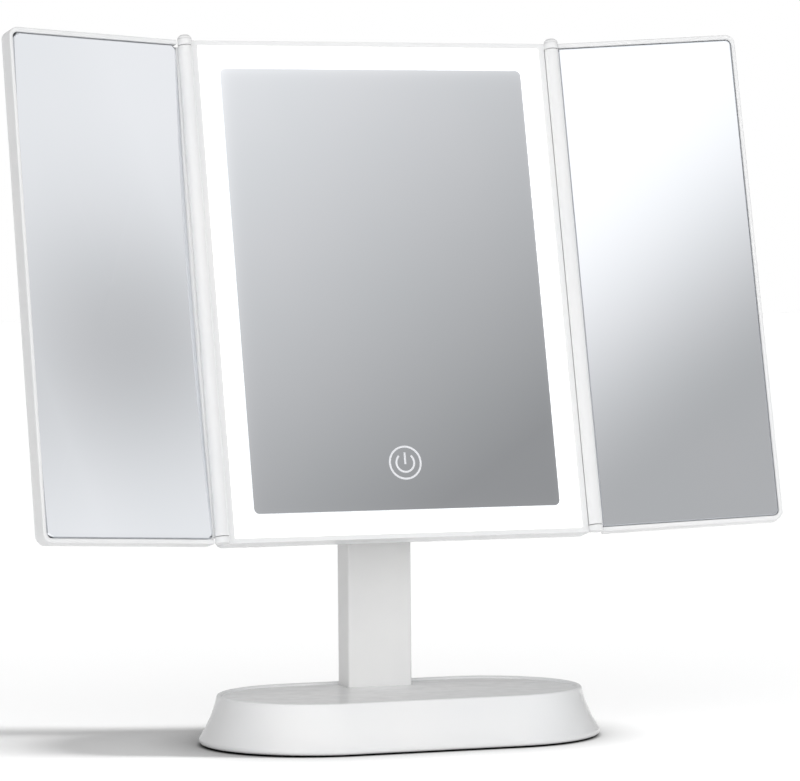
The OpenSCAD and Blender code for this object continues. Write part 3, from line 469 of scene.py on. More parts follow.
@dataclass(frozen=True)
class Finish:
    """A real material with its surface: colour that drifts, roughness that varies and a fine grain.

    Attributes:
        name: the real material and how its surface was made.
        colour: its sRGB colour.
        tone: the sRGB colour that it drifts to.
        drift_mm: size of the drifting patches.
        rough: lowest and highest roughness.
        grain_mm: size of the surface grain.
        grain_depth_mm: depth of that grain.
        stretch: how far the grain is drawn out along x, y and z.
        metallic: 1 for bare metal.
        ior: index of refraction of what isn't metal.
        coat: weight of a clear coat.
    """

    name: str
    colour: str
    tone: str
    drift_mm: float = 40.0
    rough: tuple = (0.3, 0.36)
    grain_mm: float = 1.5
    grain_depth_mm: float = 0.004
    stretch: tuple = (1, 1, 1)
    metallic: float = 0.0
    ior: float = 1.5
    coat: float = 0.0

    def material(self) -> bpy.types.Material:
        """The finish's material, made the first time that it is asked for."""
        found = bpy.data.materials.get(self.name)
        if found:
            return found
        made = bpy.data.materials.new(self.name)
        made.use_nodes = True
        shader = made.node_tree.nodes["Principled BSDF"]
        shader.inputs["Metallic"].default_value = self.metallic
        if self.metallic < 1:
            shader.inputs["IOR"].default_value = self.ior
        shader.inputs["Coat Weight"].default_value = self.coat
        self.paint(made.node_tree, shader)
        return made

    def paint(self, tree: Tree, shader: bpy.types.Node) -> None:
        """Adds colour drift, roughness drift and grain to the shader.

        Args:
            tree: the material's tree.
            shader: its Principled BSDF.
        """
        patches = {"wide": grain(tree, self.drift_mm), "close": grain(tree, self.drift_mm / 5)}
        values = solve(tree, patches, [("drift", "LINEAR", "wide", *NOISE, 0.0, 1.0),
                                       ("rough", "LINEAR", "close", *NOISE, *self.rough)])
        colour = add_node(tree, "Mix", {"Factor": values["drift"], 6: linear(self.colour), 7: linear(self.tone)},
                          data_type="RGBA").outputs[2]
        bump = add_node(tree, "Bump", {"Height": grain(tree, self.grain_mm, 3.0, self.stretch), "Strength": 1.0,
                                       "Distance": self.grain_depth_mm * MM}).outputs[0]
        for socket, name in ((colour, "Base Color"), (values["rough"], "Roughness"), (bump, "Normal")):
            tree.links.new(socket, shader.inputs[name])


@dataclass(frozen=True)
class Opal(Finish):
    """Opal polycarbonate with lamps behind it: it glows evenly, a little stronger over each lamp.

    Attributes:
        glow: lowest and highest emission strength.
        lamp_mm: distance between two lamps.
    """

    glow: tuple = (0.55, 0.65)
    lamp_mm: float = 8.0

    def paint(self, tree: Tree, shader: bpy.types.Node) -> None:
        """Adds the glow to the usual drift and grain."""
        super().paint(tree, shader)
        lamps = {"lamps": grain(tree, self.lamp_mm, 0.0)}
        values = solve(tree, lamps, [("glow", "LINEAR", "lamps", *NOISE, *self.glow)])
        shader.inputs["Emission Color"].default_value = linear("#FFFEFB")
        tree.links.new(values["glow"], shader.inputs["Emission Strength"])


@dataclass(frozen=True)
class Silvered(Finish):
    """Float glass silvered on its back: a mirror with a painted glow along its edges, emission in the glass that stands
    in for the light of the lamp band beside it.

    Attributes:
        edges: for each edge with a painted glow its axis (0 across, 2 up), the sign of its side, the painted emission
            right at the edge at its low or left end and at its other end, and the distance in mm over which it falls to
            a third.
        half: half width and half height of the glass, in mm.
    """

    edges: tuple = ()
    half: tuple = MIRROR_HALF

    def paint(self, tree: Tree, shader: bpy.types.Node) -> None:
        """Adds the veil and the sum of the painted edge glows, g exp(-d / fade) at distance d from each edge."""
        super().paint(tree, shader)
        if not self.edges:
            return
        head = head_place()
        lean = math.atan2(head.axes[1][2], head.axes[1][1])
        where = {0: add_node(tree, "TexCoord").outputs["Object"], "Location": tuple(head.origin),
                 "Rotation": (lean, 0, 0)}
        local = add_node(tree, "Mapping", where, vector_type="TEXTURE").outputs[0]
        across, _, up = add_node(tree, "SeparateXYZ", {0: local}).outputs
        rows = []
        for axis, sign, first, last, fade in self.edges:
            ways = [(across, self.half[0] * MM), (up, self.half[1] * MM)]
            (through, reach), (along, end) = ways if axis == 0 else ways[::-1]
            rows += [("inside", "MULTIPLY_ADD", through, -sign, reach),
                     ("fall", "MULTIPLY", "inside", -1.0 / (fade * MM)), ("glow", "EXPONENT", "fall"),
                     ("share", "LINEAR", along, -end, end, first, last),
                     ("painted_glow_total", "MULTIPLY_ADD", "glow", "share", "painted_glow_total")]
        # Painted glow: emission in the glass near its edges, standing in for the light of the lamp band beside it
        shader.inputs["Emission Color"].default_value = WHITE
        tree.links.new(solve(tree, {"painted_glow_total": 0.0}, rows)["painted_glow_total"], shader.inputs["Emission Strength"])


# Injection-moulded ABS with a polished tool: clear highlights, a barely uneven skin
ABS_GLOSS = Finish("ABS, white, gloss moulded", "#F1F1F1", "#EDEEEF", 45, (0.20, 0.27), 2.2, 0.0008, ior=1.53)
# The same plastic inside the housings, from a plain tool: duller, finely pitted
ABS_INNER = Finish("ABS, white, plain moulded", "#E9EAEC", "#E2E4E6", 20, (0.45, 0.55), 0.8, 0.006, ior=1.53)
# Painted steel tube: even coat, long soft orange peel
POWDER_COAT = Finish("Steel tube, white, powder coated", "#EFEFEE", "#EBEBEB", 30, (0.30, 0.38), 1.6, 0.0015)
# Opal polycarbonate, satin outside
OPAL = Opal("Polycarbonate, opal, satin moulded", "#F6F6F4", "#F2F2F0", 30, (0.38, 0.46), 0.9, 0.003, ior=1.58)
# Silvered float glass; the veil is the faint unevenness of its backing
SILVER = ("#EEF0F4", "#ECEFF3", 60, (0.0, 0.012), 30.0, 0.00001, (1, 1, 1), 1)
MIRROR = Silvered("Float glass, silvered and polished", *SILVER)
# The centre mirror, with a painted glow along its edges that stands in for the lamp band's light
MIRROR_PAINTED_EDGE_GLOW = Silvered("Float glass, silvered, lit at its edges", *SILVER,
                      edges=((0, -1, 0.04, 0.16, 2.5), (0, 1, 0.05, 0.05, 1.0), (2, 1, 0.13, 0.13, 2.5),
                             (2, -1, 0.02, 0.02, 2.5)))
# The edge of float glass, ground dull and slightly green
GLASS_EDGE = Finish("Float glass, ground edge", "#8C9896", "#788583", 3, (0.35, 0.5), 0.3, 0.01)
# Backing paint of a mirror
MIRROR_BACK = Finish("Mirror backing paint, sprayed", "#6E7276", "#63676B", 15, (0.5, 0.6), 0.7, 0.008)
# Glass etched from behind so that light shows through
ETCHED = Opal("Float glass, acid etched", "#CFD0D5", "#C8CAD0", 4, (0.5, 0.6), 0.25, 0.004, glow=(0.18, 0.22))
# Zinc-plated steel: bright, faintly cloudy, with turning marks
ZINC_STEEL = Finish("Steel, zinc plated", "#B9BCC0", "#A9ADB3", 2.5, (0.25, 0.4), 0.35, 0.004, (6, 1, 1), metallic=1)
# Hot-rolled plate as it comes from the shears
ROLLED_STEEL = Finish("Steel, hot rolled", "#6F7277", "#5C5E62", 18, (0.45, 0.65), 1.0, 0.02, (5, 1, 1), metallic=1)
# Soft rubber with a spark-eroded tool texture
RUBBER = Finish("Silicone rubber, grey, moulded", "#5A5B5D", "#4F5052", 12, (0.7, 0.85), 0.6, 0.03, ior=1.41)
# Closed-cell foam tape: fine open pores on its cut faces
FOAM = Finish("Polyethylene foam, cut", "#4A4B4E", "#3C3D40", 1.2, (0.8, 0.95), 0.5, 0.06, ior=1.45)
# Glass-epoxy board under green solder resist, with the weave just showing
BOARD = Finish("Glass epoxy board, solder resist", "#1F6B45", "#19583A", 1.4, (0.3, 0.45), 0.5, 0.01, (1, 1, 3),
               ior=1.55)
# White solder resist of the lamp board
LAMP_BOARD = Finish("Aluminium board, white resist", "#EDEEEC", "#E2E4E1", 3, (0.35, 0.5), 0.5, 0.008)
# Silicone and phosphor over a lamp chip
PHOSPHOR = Finish("Silicone over phosphor, cast", "#F3E7A2", "#EBDC86", 1, (0.3, 0.4), 0.3, 0.004, ior=1.41)
# Epoxy chip body
CHIP = Finish("Epoxy, black, moulded", "#26272A", "#1E1F21", 2, (0.45, 0.6), 0.2, 0.006)
# Phosphor bronze wire and strip, nickel plated
SPRING = Finish("Phosphor bronze, nickel plated", "#C8C2B6", "#B9B2A4", 2, (0.2, 0.32), 0.3, 0.002, (1, 1, 5),
                metallic=1)
# Heat-shrunk sleeve of a cell
SLEEVE = Finish("PVC sleeve, heat shrunk", "#3A4A66", "#34425C", 9, (0.25, 0.38), 1.2, 0.01, (3, 1, 1), ior=1.53)
# Wire insulation
INSULATION = Finish("PVC insulation, red, extruded", "#B5261F", "#A3211B", 4, (0.35, 0.45), 0.5, 0.004, ior=1.53)
# Machined acetal bush
ACETAL = Finish("Acetal, natural, machined", "#EFEDE6", "#E7E4DB", 3, (0.35, 0.5), 0.25, 0.004, (1, 1, 4), ior=1.48)
# Stamped nickel-plated steel of the inlet's mouth
NICKEL = Finish("Steel, nickel plated, stamped", "#C4C6C8", "#B4B7BA", 2, (0.18, 0.3), 0.4, 0.003, metallic=1)


# ---------- Dressing ----------


class Shading(Enum):
    """How a piece's faces are shaded: the angle in degrees past which an edge is sharp, and whether flats rule."""

    MOULDED = (38, True)
    GLASS = (4, False)


def dress(piece: Thing, body: str, node: str,
          finishes: tuple = (ABS_GLOSS,), shading: Shading = Shading.MOULDED) -> None:
    """Gives a piece its finishes and shading, and ties it to the frame.

    Args:
        piece: the finished mesh object.
        body: the body that it rides on.
        node: the node that it stands for.
        finishes: the finishes of its faces, in the order of their indices.
        shading: how its faces are shaded.
    """
    mesh = piece.data
    mesh.materials.clear()
    for finish in finishes:
        mesh.materials.append(finish.material())
    angle, flats = shading.value
    mesh.polygons.foreach_set("use_smooth", np.ones(len(mesh.polygons), bool))
    mesh.set_sharp_from_angle(angle=math.radians(angle))
    if flats:
        even = piece.modifiers.new("flats", "WEIGHTED_NORMAL")
        even.keep_sharp = True
        even.weight = 100
    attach(piece, body)
    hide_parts(node)
    log.info("%s: %d faces, rides on %s", piece.name, len(mesh.polygons), body)


# ---------- The base ----------


@dataclass
class Base:
    """The weighted base: a shell with a flared skirt, a rim and a shallow tray, whose section runs round a stadium."""

    straight: float = 40.3
    half_depth: float = 55.5
    height: float = 23.3
    lift: float = 0.8
    wall: float = 2.4
    foot_round: float = 1.5
    band: float = 3.2
    rim_round: float = 1.2
    rim_half: float = 47.282
    flare_centre: tuple = (102.38, 34.82)
    flare_radius: float = 56.55
    tray_height: float = 22.0
    tray_half: float = 39.88
    tray_ease: float = 2.2
    stem_gap: float = 0.15
    opening: tuple = (15.0, 26.0)

    def section(self) -> np.ndarray:
        """The shell's section from the middle of its underside round to the middle of the tray.

        The skirt is the arc (cx - R cos a, cz - R sin a) between the band and the rim, the rim a half circle, and the
        cavity the same arc moved in by the wall.

        Returns:
            (M, 2) distance from the middle line, and height.
        """
        cx, cz = self.flare_centre
        top = self.height - self.rim_round
        under = self.tray_height - self.wall
        z = np.linspace(under, self.lift, 14)
        inner = cx - np.sqrt((self.flare_radius + self.wall) ** 2 - (cz - z) ** 2)
        cavity = columns(np.minimum(inner, self.half_depth - self.wall), z)
        t = np.radians(np.linspace(-90, 0, 8))
        foot = columns(self.half_depth + self.foot_round * (np.cos(t) - 1),
                       self.lift + self.foot_round * (np.sin(t) + 1))
        a = np.arcsin((cz - np.linspace(self.band, top, 22)) / self.flare_radius)
        skirt = columns(cx - self.flare_radius * np.cos(a), cz - self.flare_radius * np.sin(a))
        t = np.radians(np.linspace(0, 180, 13))
        rim = columns(self.rim_half - self.rim_round + self.rim_round * np.cos(t), top + self.rim_round * np.sin(t))
        tray = eased([rim[-1], [self.tray_half, self.tray_height], [self.tray_half - 12, self.tray_height]],
                     [0, self.tray_ease, 0], 8)
        ease_band = eased([foot[-1], skirt[0], skirt[1]], [0, 0.5, 0], 3)[1:-1]
        return np.concatenate([cavity, foot, ease_band, skirt[1:], rim[1:], tray[1:]])

    def build(self) -> None:
        """Makes the shell, with the opening through which the stem enters."""
        shell = Piece("base_shell_skin").shell(round_stadium(self.section(), self.straight), Lie.FLAT).make()
        wide, deep = (half + self.stem_gap for half in STEM_HALF)
        hole = bar(wide, deep, 1.3, *self.opening)
        carve(shell, Piece("stem_opening").shell(hole, Lie.FLAT, at=(0, STEM_Y, 0)))
        dress(shell, "stand", "base_shell")


# ---------- The stem ----------


@dataclass
class Stem:
    """The upright tube, the yoke at its top and the caps over the tilt bolt."""

    half: tuple = STEM_HALF
    corner: float = 1.2
    wall: float = 1.8
    y: float = STEM_Y
    foot_z: float = 12.6
    top_z: float = 185.4
    pivot_z: float = 201.4
    seam: float = 0.05
    yoke_ease: float = 0.6
    slot_half: float = 6.9
    slot_low: float = 192.8
    slot_reach: tuple = (20.0, 220.0)
    cap_radius: float = 5.2
    cap_depth: float = 1.0
    bolt_radius: float = 3.0

    def tube(self) -> None:
        """Makes the tube: an outer and an inner wall joined at both ends."""
        a, b = self.half
        inner_a, inner_b, inner_r = a - self.wall, b - self.wall, 0.4
        wall = eased([[a, b, self.corner, self.foot_z], [a, b, self.corner, self.top_z],
                      [inner_a, inner_b, inner_r, self.top_z], [inner_a, inner_b, inner_r, self.foot_z]],
                     [0, 0.3, 0.3, 0], closed=True)
        tube = Piece("stem_tube_skin").shell(rings(wall), Lie.FLAT, at=(0, self.y, 0), loop=True).make()
        dress(tube, "stand", "stem_tube", finishes=(POWDER_COAT,))

    def cheek_outline(self, inset: np.ndarray) -> np.ndarray:
        """The yoke's outline seen from the side: straight walls up to the pivot, then a half circle over it.

        Args:
            inset: (M,) distance by which each ring is drawn in.

        Returns:
            (M, N, 2) y from the stem's middle and height.
        """
        t = np.radians(np.linspace(0, 180, 25))
        radius = (self.half[1] - inset)[:, None]
        over = columns(radius * np.cos(t), self.pivot_z + radius * np.sin(t))
        feet = columns(radius * (-1, 1), self.top_z + self.seam + inset[:, None])
        return np.concatenate([over, feet], axis=1)

    def yoke(self) -> None:
        """Makes the yoke: the outline carried across the stem, then its slot, cap seats and bolt holes cut."""
        a = self.half[0]
        cheeks = carried(self.cheek_outline, -a, a, self.yoke_ease, 6)
        yoke = Piece("stem_yoke_skin").shell(cheeks, Lie.SIDEWAYS, at=(0, self.y, 0)).make()
        deep, top = self.slot_reach
        slot = bar(self.slot_half, deep, 0.4, self.slot_low, top)
        carve(yoke, Piece("slot").shell(slot, Lie.FLAT, at=(0, self.y, 0)))
        seat, floor = self.cap_radius + 0.05, a - self.cap_depth
        hole, pivot = self.bolt_radius, (0, self.y, self.pivot_z)
        for sign in (-1, 1):
            for name, cut in (("seat", [[seat, floor], [seat, a + 1]]),
                              ("bolt_hole", [[hole, self.slot_half - 1], [hole, floor + 0.5]])):
                carve(yoke, Piece(name).shell(turned(cut) * (1, 1, sign), Lie.SIDEWAYS, at=pivot))
        dress(yoke, "stand", "stem_yoke")

    def caps(self) -> None:
        """Makes the two round caps: discs with an eased rim and a slight dome, h = 0.15 (1 - (r / R)^2)."""
        radius, face = self.cap_radius - 0.02, self.half[0] - 0.15
        r = np.linspace(radius - 0.35, 0.4, 7)
        dome = columns(r, face + 0.15 * (1 - (r / radius) ** 2))
        edge = eased([[radius, face - 0.83], [radius, face], dome[0]], [0, 0.25, 0])
        cap = turned(np.concatenate([edge, dome[1:]]))
        caps = Piece("pivot_cap_discs")
        for sign in (-1, 1):
            caps.shell(cap * (1, 1, sign), Lie.SIDEWAYS, at=(0, self.y, self.pivot_z))
        dress(caps.make(), "stand", "pivot_caps")

    def build(self) -> None:
        """Makes the stem's pieces."""
        self.tube()
        self.yoke()
        self.caps()


# ---------- The lit panel ----------


@dataclass
class Panel:
    """The head's front: frame with hinge ears, caps, light band and centre mirror."""

    half: tuple = (87.5, 119.0)
    step_half: float = 91.0
    corner: float = 3.0
    wall: float = 1.4
    lip: float = 0.9
    lip_depth: float = 1.0
    step_y: float = 3.2
    seam_y: float = 9.5
    hinge_x: float = 91.5
    hinge_y: float = -1.0
    barrel_radius: float = BARREL_RADIUS
    barrel_gap: float = 0.12
    ear_height: float = 3.0
    ear_ease: float = 0.25
    dome: float = 2.0
    plug_radius: float = 2.5
    mirror_half: tuple = MIRROR_HALF
    mirror_front: float = 0.5
    mirror_back: float = 3.5
    mirror_gap: float = 0.15
    lip_gap: float = 0.15
    band_step: float = 1.15
    skirt: float = 1.25
    skirt_y: float = 2.2
    collar: float = 1.2
    collar_y: float = 4.3
    place: Place = field(default_factory=head_place)

    def frame_section(self) -> np.ndarray:
        """Stations of the frame's section: half width, half height, corner radius and depth, as a loop.

        Its outside is hollow: an arc about the hinge axis, (hx + H cos t, hy + H sin t), that clears the barrel.
        """
        a, b = self.half
        in_a, in_b, r_in = a - self.wall, b - self.wall, self.corner - self.wall
        lip_a, lip_b, r_lip = in_a - self.lip, in_b - self.lip, 0.7
        step, back = self.step_half, self.seam_y
        web = self.step_y + self.wall
        hollow = self.barrel_radius + self.barrel_gap
        start, stop = math.acos((self.hinge_x - step) / hollow), math.asin(-self.hinge_y / hollow)
        cove = [[self.hinge_x + hollow * math.cos(t), b, self.corner, self.hinge_y + hollow * math.sin(t)]
                for t in np.linspace(math.pi - start, math.pi - stop, 7)]
        return eased(
            [[step, b, self.corner, back], *cove, [lip_a, lip_b, r_lip, 0], [lip_a, lip_b, r_lip, self.lip_depth],
             [in_a, in_b, r_in, self.lip_depth], [in_a, in_b, r_in, web], [step - self.wall, in_b, r_in, web],
             [step - self.wall, in_b, r_in, back]],
            [0.3, 0.3, 0, 0, 0, 0, 0, 0.5, 0.25, 0, 0, 0, 0, 0], closed=True)

    def ear(self, inset: np.ndarray) -> np.ndarray:
        """An ear's outline seen from above: most of a circle round the hinge axis, and an arm back to the frame.

        Args:
            inset: (M,) distance by which each ring is drawn in.

        Returns:
            (M, N, 2) x outwards and y behind the hinge axis.
        """
        radius = (self.barrel_radius - inset)[:, None]
        front = (-self.hinge_y + 0.02 + inset)[:, None]
        start = math.pi - np.arcsin(front / radius)
        t = start + (2.5 * math.pi - start) * np.linspace(0, 1, 33)
        arc = columns(radius * np.cos(t), radius * np.sin(t))
        arm = columns(self.half[0] - 1 - self.hinge_x, np.concatenate([radius, front], axis=1))
        return np.concatenate([arc, arm], axis=1)

    def front_frame(self) -> None:
        """Makes the frame and its four ears."""
        made = Piece("front_frame_skin", self.place).shell(rings(self.frame_section(), steps=10), loop=True)
        ear = carried(self.ear, self.half[1] - self.ear_height, self.half[1] - 0.02, self.ear_ease, 4)
        for side, end in CORNERS:
            made.shell(ear * (side, 1, end), Lie.FLAT, at=(side * self.hinge_x, self.hinge_y, 0))
        dress(made.make(), "head", "front_frame")

    def hinge_caps(self) -> None:
        """Makes the caps: a short barrel with a cone on the upper ears, flush discs in the lower ones."""
        top, r = self.half[1], self.barrel_radius
        tip, narrow = top + self.dome, self.plug_radius - 0.1
        cone = eased([[r, top + 0.02], [r, top + 0.35 * self.dome], [0.62 * r, tip], [0.3, tip]], [0, 0.4, 0.5, 0])
        plug = eased([[narrow, -top + 0.8], [narrow, -top], [0.3, -top]], [0, 0.3, 0])
        made = Piece("hinge_cap_domes", self.place)
        for side in (-1, 1):
            for shape in (cone, plug):
                made.shell(turned(shape), Lie.FLAT, at=(side * self.hinge_x, self.hinge_y, 0))
        dress(made.make(), "head", "hinge_caps")

    def light_band(self) -> None:
        """Makes the diffuser: a flat band with an outer step under the frame's lip and two skirts behind."""
        m_a, m_b = (half + self.mirror_gap for half in self.mirror_half)
        a, b = (half - self.wall - self.lip - self.lip_gap for half in self.half)
        w_a, w_b = a + self.lip, b + self.lip
        in_a, in_b, back = w_a - self.skirt, w_b - self.skirt, self.skirt_y
        k_a, k_b, deep, step = m_a + self.collar, m_b + self.collar, self.collar_y, self.band_step
        section = eased(
            [[m_a, m_b, 2.6, deep], [m_a, m_b, 2.6, 0], [a, b, 1.0, 0], [a, b, 1.0, step], [w_a, w_b, 1.6, step],
             [w_a, w_b, 1.6, self.seam_y], [in_a, in_b, 1.0, self.seam_y], [in_a, in_b, 1.0, back],
             [k_a, k_b, 3.0, back], [k_a, k_b, 3.0, deep]], [0, 0.25, 0.25, 0, 0, 0, 0, 0, 0, 0], closed=True)
        band = Piece("light_band", self.place).shell(rings(section, steps=10), loop=True).make()
        dress(band, "head", "light_diffuser", (OPAL,))

    def mirror(self) -> None:
        """Makes the centre mirror: a plate with seamed edges, silvered where it faces the viewer, with a painted glow
        along its edges.
        """
        plate = seamed(self.mirror_half, self.corner, self.mirror_front, self.mirror_back)
        glass = Piece("centre_mirror_glass", self.place).shell(plate, finish=1, lids=(0, 2))
        glass.refinish(0, 1, 0)
        dress(glass.make(), "head", "centre_mirror", (MIRROR_PAINTED_EDGE_GLOW, GLASS_EDGE, MIRROR_BACK),
              Shading.GLASS)

    def build(self) -> None:
        """Makes the front's pieces."""
        self.front_frame()
        self.hinge_caps()
        self.light_band()
        self.mirror()


# ---------- The head's back ----------


@dataclass
class Back:
    """The head's back: housing, battery door and tilt bracket."""

    half: tuple = (91.0, 119.0)
    corner: float = 3.0
    wall: float = 2.0
    seam_y: float = 9.5
    back_y: float = 17.0
    round_over: float = 5.0
    bay_z: float = 75.0
    bay_half: tuple = (22.2, 25.0)
    bay_wall: float = 2.0
    bay_floor: tuple = (3.9, 4.6)
    clip_half: tuple = (0.5, 4.0)
    groove_half: tuple = (8.0, 0.35)
    groove_pitch: float = 1.6
    door_ledge: float = 1.4
    door_gap: float = 0.2
    door_y: float = 15.4
    inlet: tuple = (18.0, -91.5)
    inlet_half: tuple = (4.8, 1.95)
    inlet_y: float = 13.0
    screw_x: float = 60.36
    screw_z: tuple = (-93.37, 0.0, 93.37)
    screw_seat: tuple = (2.3, 13.6)
    bracket_half: tuple = (18.0, 22.94)
    bracket_z: float = -3.2
    bracket_t: float = 2.5
    bracket_ease: float = 0.5
    bracket_screw: tuple = (13.0, 16.94)
    screw_radii: tuple = (1.6, 3.15)
    bore_radius: float = 3.05
    knuckle_radius: float = 7.4
    knuckle_half: float = 6.0
    pivot_y: float = 29.2
    place: Place = field(default_factory=head_place)

    def housing(self) -> None:
        """Makes the housing: a tray whose back edge is a quarter round, i = R (1 - cos a), y = y0 + R sin a."""
        (a, b), r, wall, start = self.half, self.corner, self.wall, self.back_y - self.round_over
        t = np.radians(np.linspace(0, 90, 13))
        inset = self.round_over * (1 - np.cos(t))
        over = columns(a - inset, b - inset, r, start + self.round_over * np.sin(t))
        inner = [[a - drawn * wall, b - drawn * wall, 1.2, y]
                 for drawn, y in ((2, self.back_y - wall), (2, start + 1), (1, start + 1), (1, self.seam_y))]
        rim = eased([inner[-1], [a, b, r, self.seam_y], over[0].tolist()], [0, 0.3, 0])
        run = np.concatenate([inner[:-1], rim[:-1], over])
        housing = Piece("rear_housing_skin", self.place).shell(rings(run, steps=10)).make()
        (w, h), bay, beyond = self.bay_half, (0, 0, self.bay_z), self.back_y + 1
        block = bar(w + self.bay_wall, h + self.bay_wall, 1.5, self.bay_floor[0], self.back_y - 1)
        carve(housing, Piece("bay_block", self.place).shell(block, at=bay), "UNION")
        seat = bar(w + self.door_ledge, h + self.door_ledge, 1.5, self.door_y, beyond)
        for name, cut, at in (("bay", bar(w, h, 0.5, self.bay_floor[1], beyond), bay), ("door_seat", seat, bay),
                              ("inlet_mouth", bar(*self.inlet_half, 1.5, self.inlet_y, beyond),
                               (self.inlet[0], 0, self.inlet[1]))):
            carve(housing, Piece(name, self.place).shell(cut, at=at))
        seats = Piece("screw_seats", self.place)
        radius, floor = self.screw_seat
        for x in (-self.screw_x, self.screw_x):
            for z in self.screw_z:
                seats.shell(turned([[radius, floor], [radius, beyond]], 32), at=(x, 0, z))
        carve(housing, seats)
        dress(housing, "head", "rear_housing")

    def door(self) -> None:
        """Makes the battery door: a plate with an eased face, five finger grooves and four clips."""
        w, h = (half + self.door_ledge - self.door_gap for half in self.bay_half)
        top, (bay_w, bay_h) = self.back_y - 0.1, self.bay_half
        plate = Piece("battery_door_skin", self.place)
        plate.shell(rings(slab(w, h, 1.3, self.door_y, top, 0.3)), at=(0, 0, self.bay_z))
        clip = rings(slab(*self.clip_half, 0.3, 0.0, 1.45, 0.15) * (1, 1, 1, -1))
        for sx, sz in CORNERS:
            plate.shell(clip, at=(sx * (bay_w - 0.9), self.door_y + 0.05, self.bay_z + sz * (bay_h - 9)))
        door = plate.make()
        grooves = Piece("grooves", self.place)
        for i in range(-2, 3):
            groove = bar(*self.groove_half, 0.34, top - 0.4, top + 1)
            grooves.shell(groove, at=(0, 0, self.bay_z + bay_h - 7 + self.groove_pitch * i))
        carve(door, grooves)
        dress(door, "door", "battery_door")

    def neck_outline(self, inset: np.ndarray) -> np.ndarray:
        """The bracket's neck seen from the side: a half circle about the tilt axis, and its root in the plate.

        Args:
            inset: (M,) distance by which each ring is drawn in.

        Returns:
            (M, N, 2) y behind the face and height from the axis.
        """
        radius = (self.knuckle_radius - inset)[:, None]
        turn = np.radians(np.linspace(-90, 90, 33))
        nose = columns(self.pivot_y + radius * np.cos(turn), radius * np.sin(turn))
        return np.concatenate([nose, columns(self.back_y + self.bracket_t - 1, radius * (1, -1))], axis=1)

    def bracket(self) -> None:
        """Makes the bracket: a screwed plate, and a neck that ends in a round knuckle about the tilt axis."""
        back, middle = self.back_y + self.bracket_t, (0, 0, self.bracket_z)
        plate = rings(slab(*self.bracket_half, 3.0, self.back_y + 0.02, back, self.bracket_ease))
        bracket = Piece("tilt_bracket_skin", self.place).shell(plate, at=middle).make()
        neck = carried(self.neck_outline, -self.knuckle_half, self.knuckle_half, self.bracket_ease, 5)
        carve(bracket, Piece("neck", self.place).shell(neck, Lie.SIDEWAYS, at=middle), "UNION")
        seats = Piece("bracket_seats", self.place)
        (across, up), (hole, head) = self.bracket_screw, self.screw_radii
        seat = turned([[hole, self.back_y - 1], [hole, back - 1.5], [head, back + 0.02], [head, back + 1]], 32)
        for sx, sz in CORNERS:
            seats.shell(seat, at=(sx * across, 0, self.bracket_z + sz * up))
        carve(bracket, seats)
        bore = turned([[self.bore_radius, -10.0], [self.bore_radius, 10.0]])
        pivot = (0, self.pivot_y, self.bracket_z)
        carve(bracket, Piece("bore", self.place).shell(bore, Lie.SIDEWAYS, at=pivot))
        dress(bracket, "head", "tilt_bracket", finishes=(POWDER_COAT,))

    def build(self) -> None:
        """Makes the back's pieces."""
        self.housing()
        self.door()
        self.bracket()


# ---------- The wings ----------


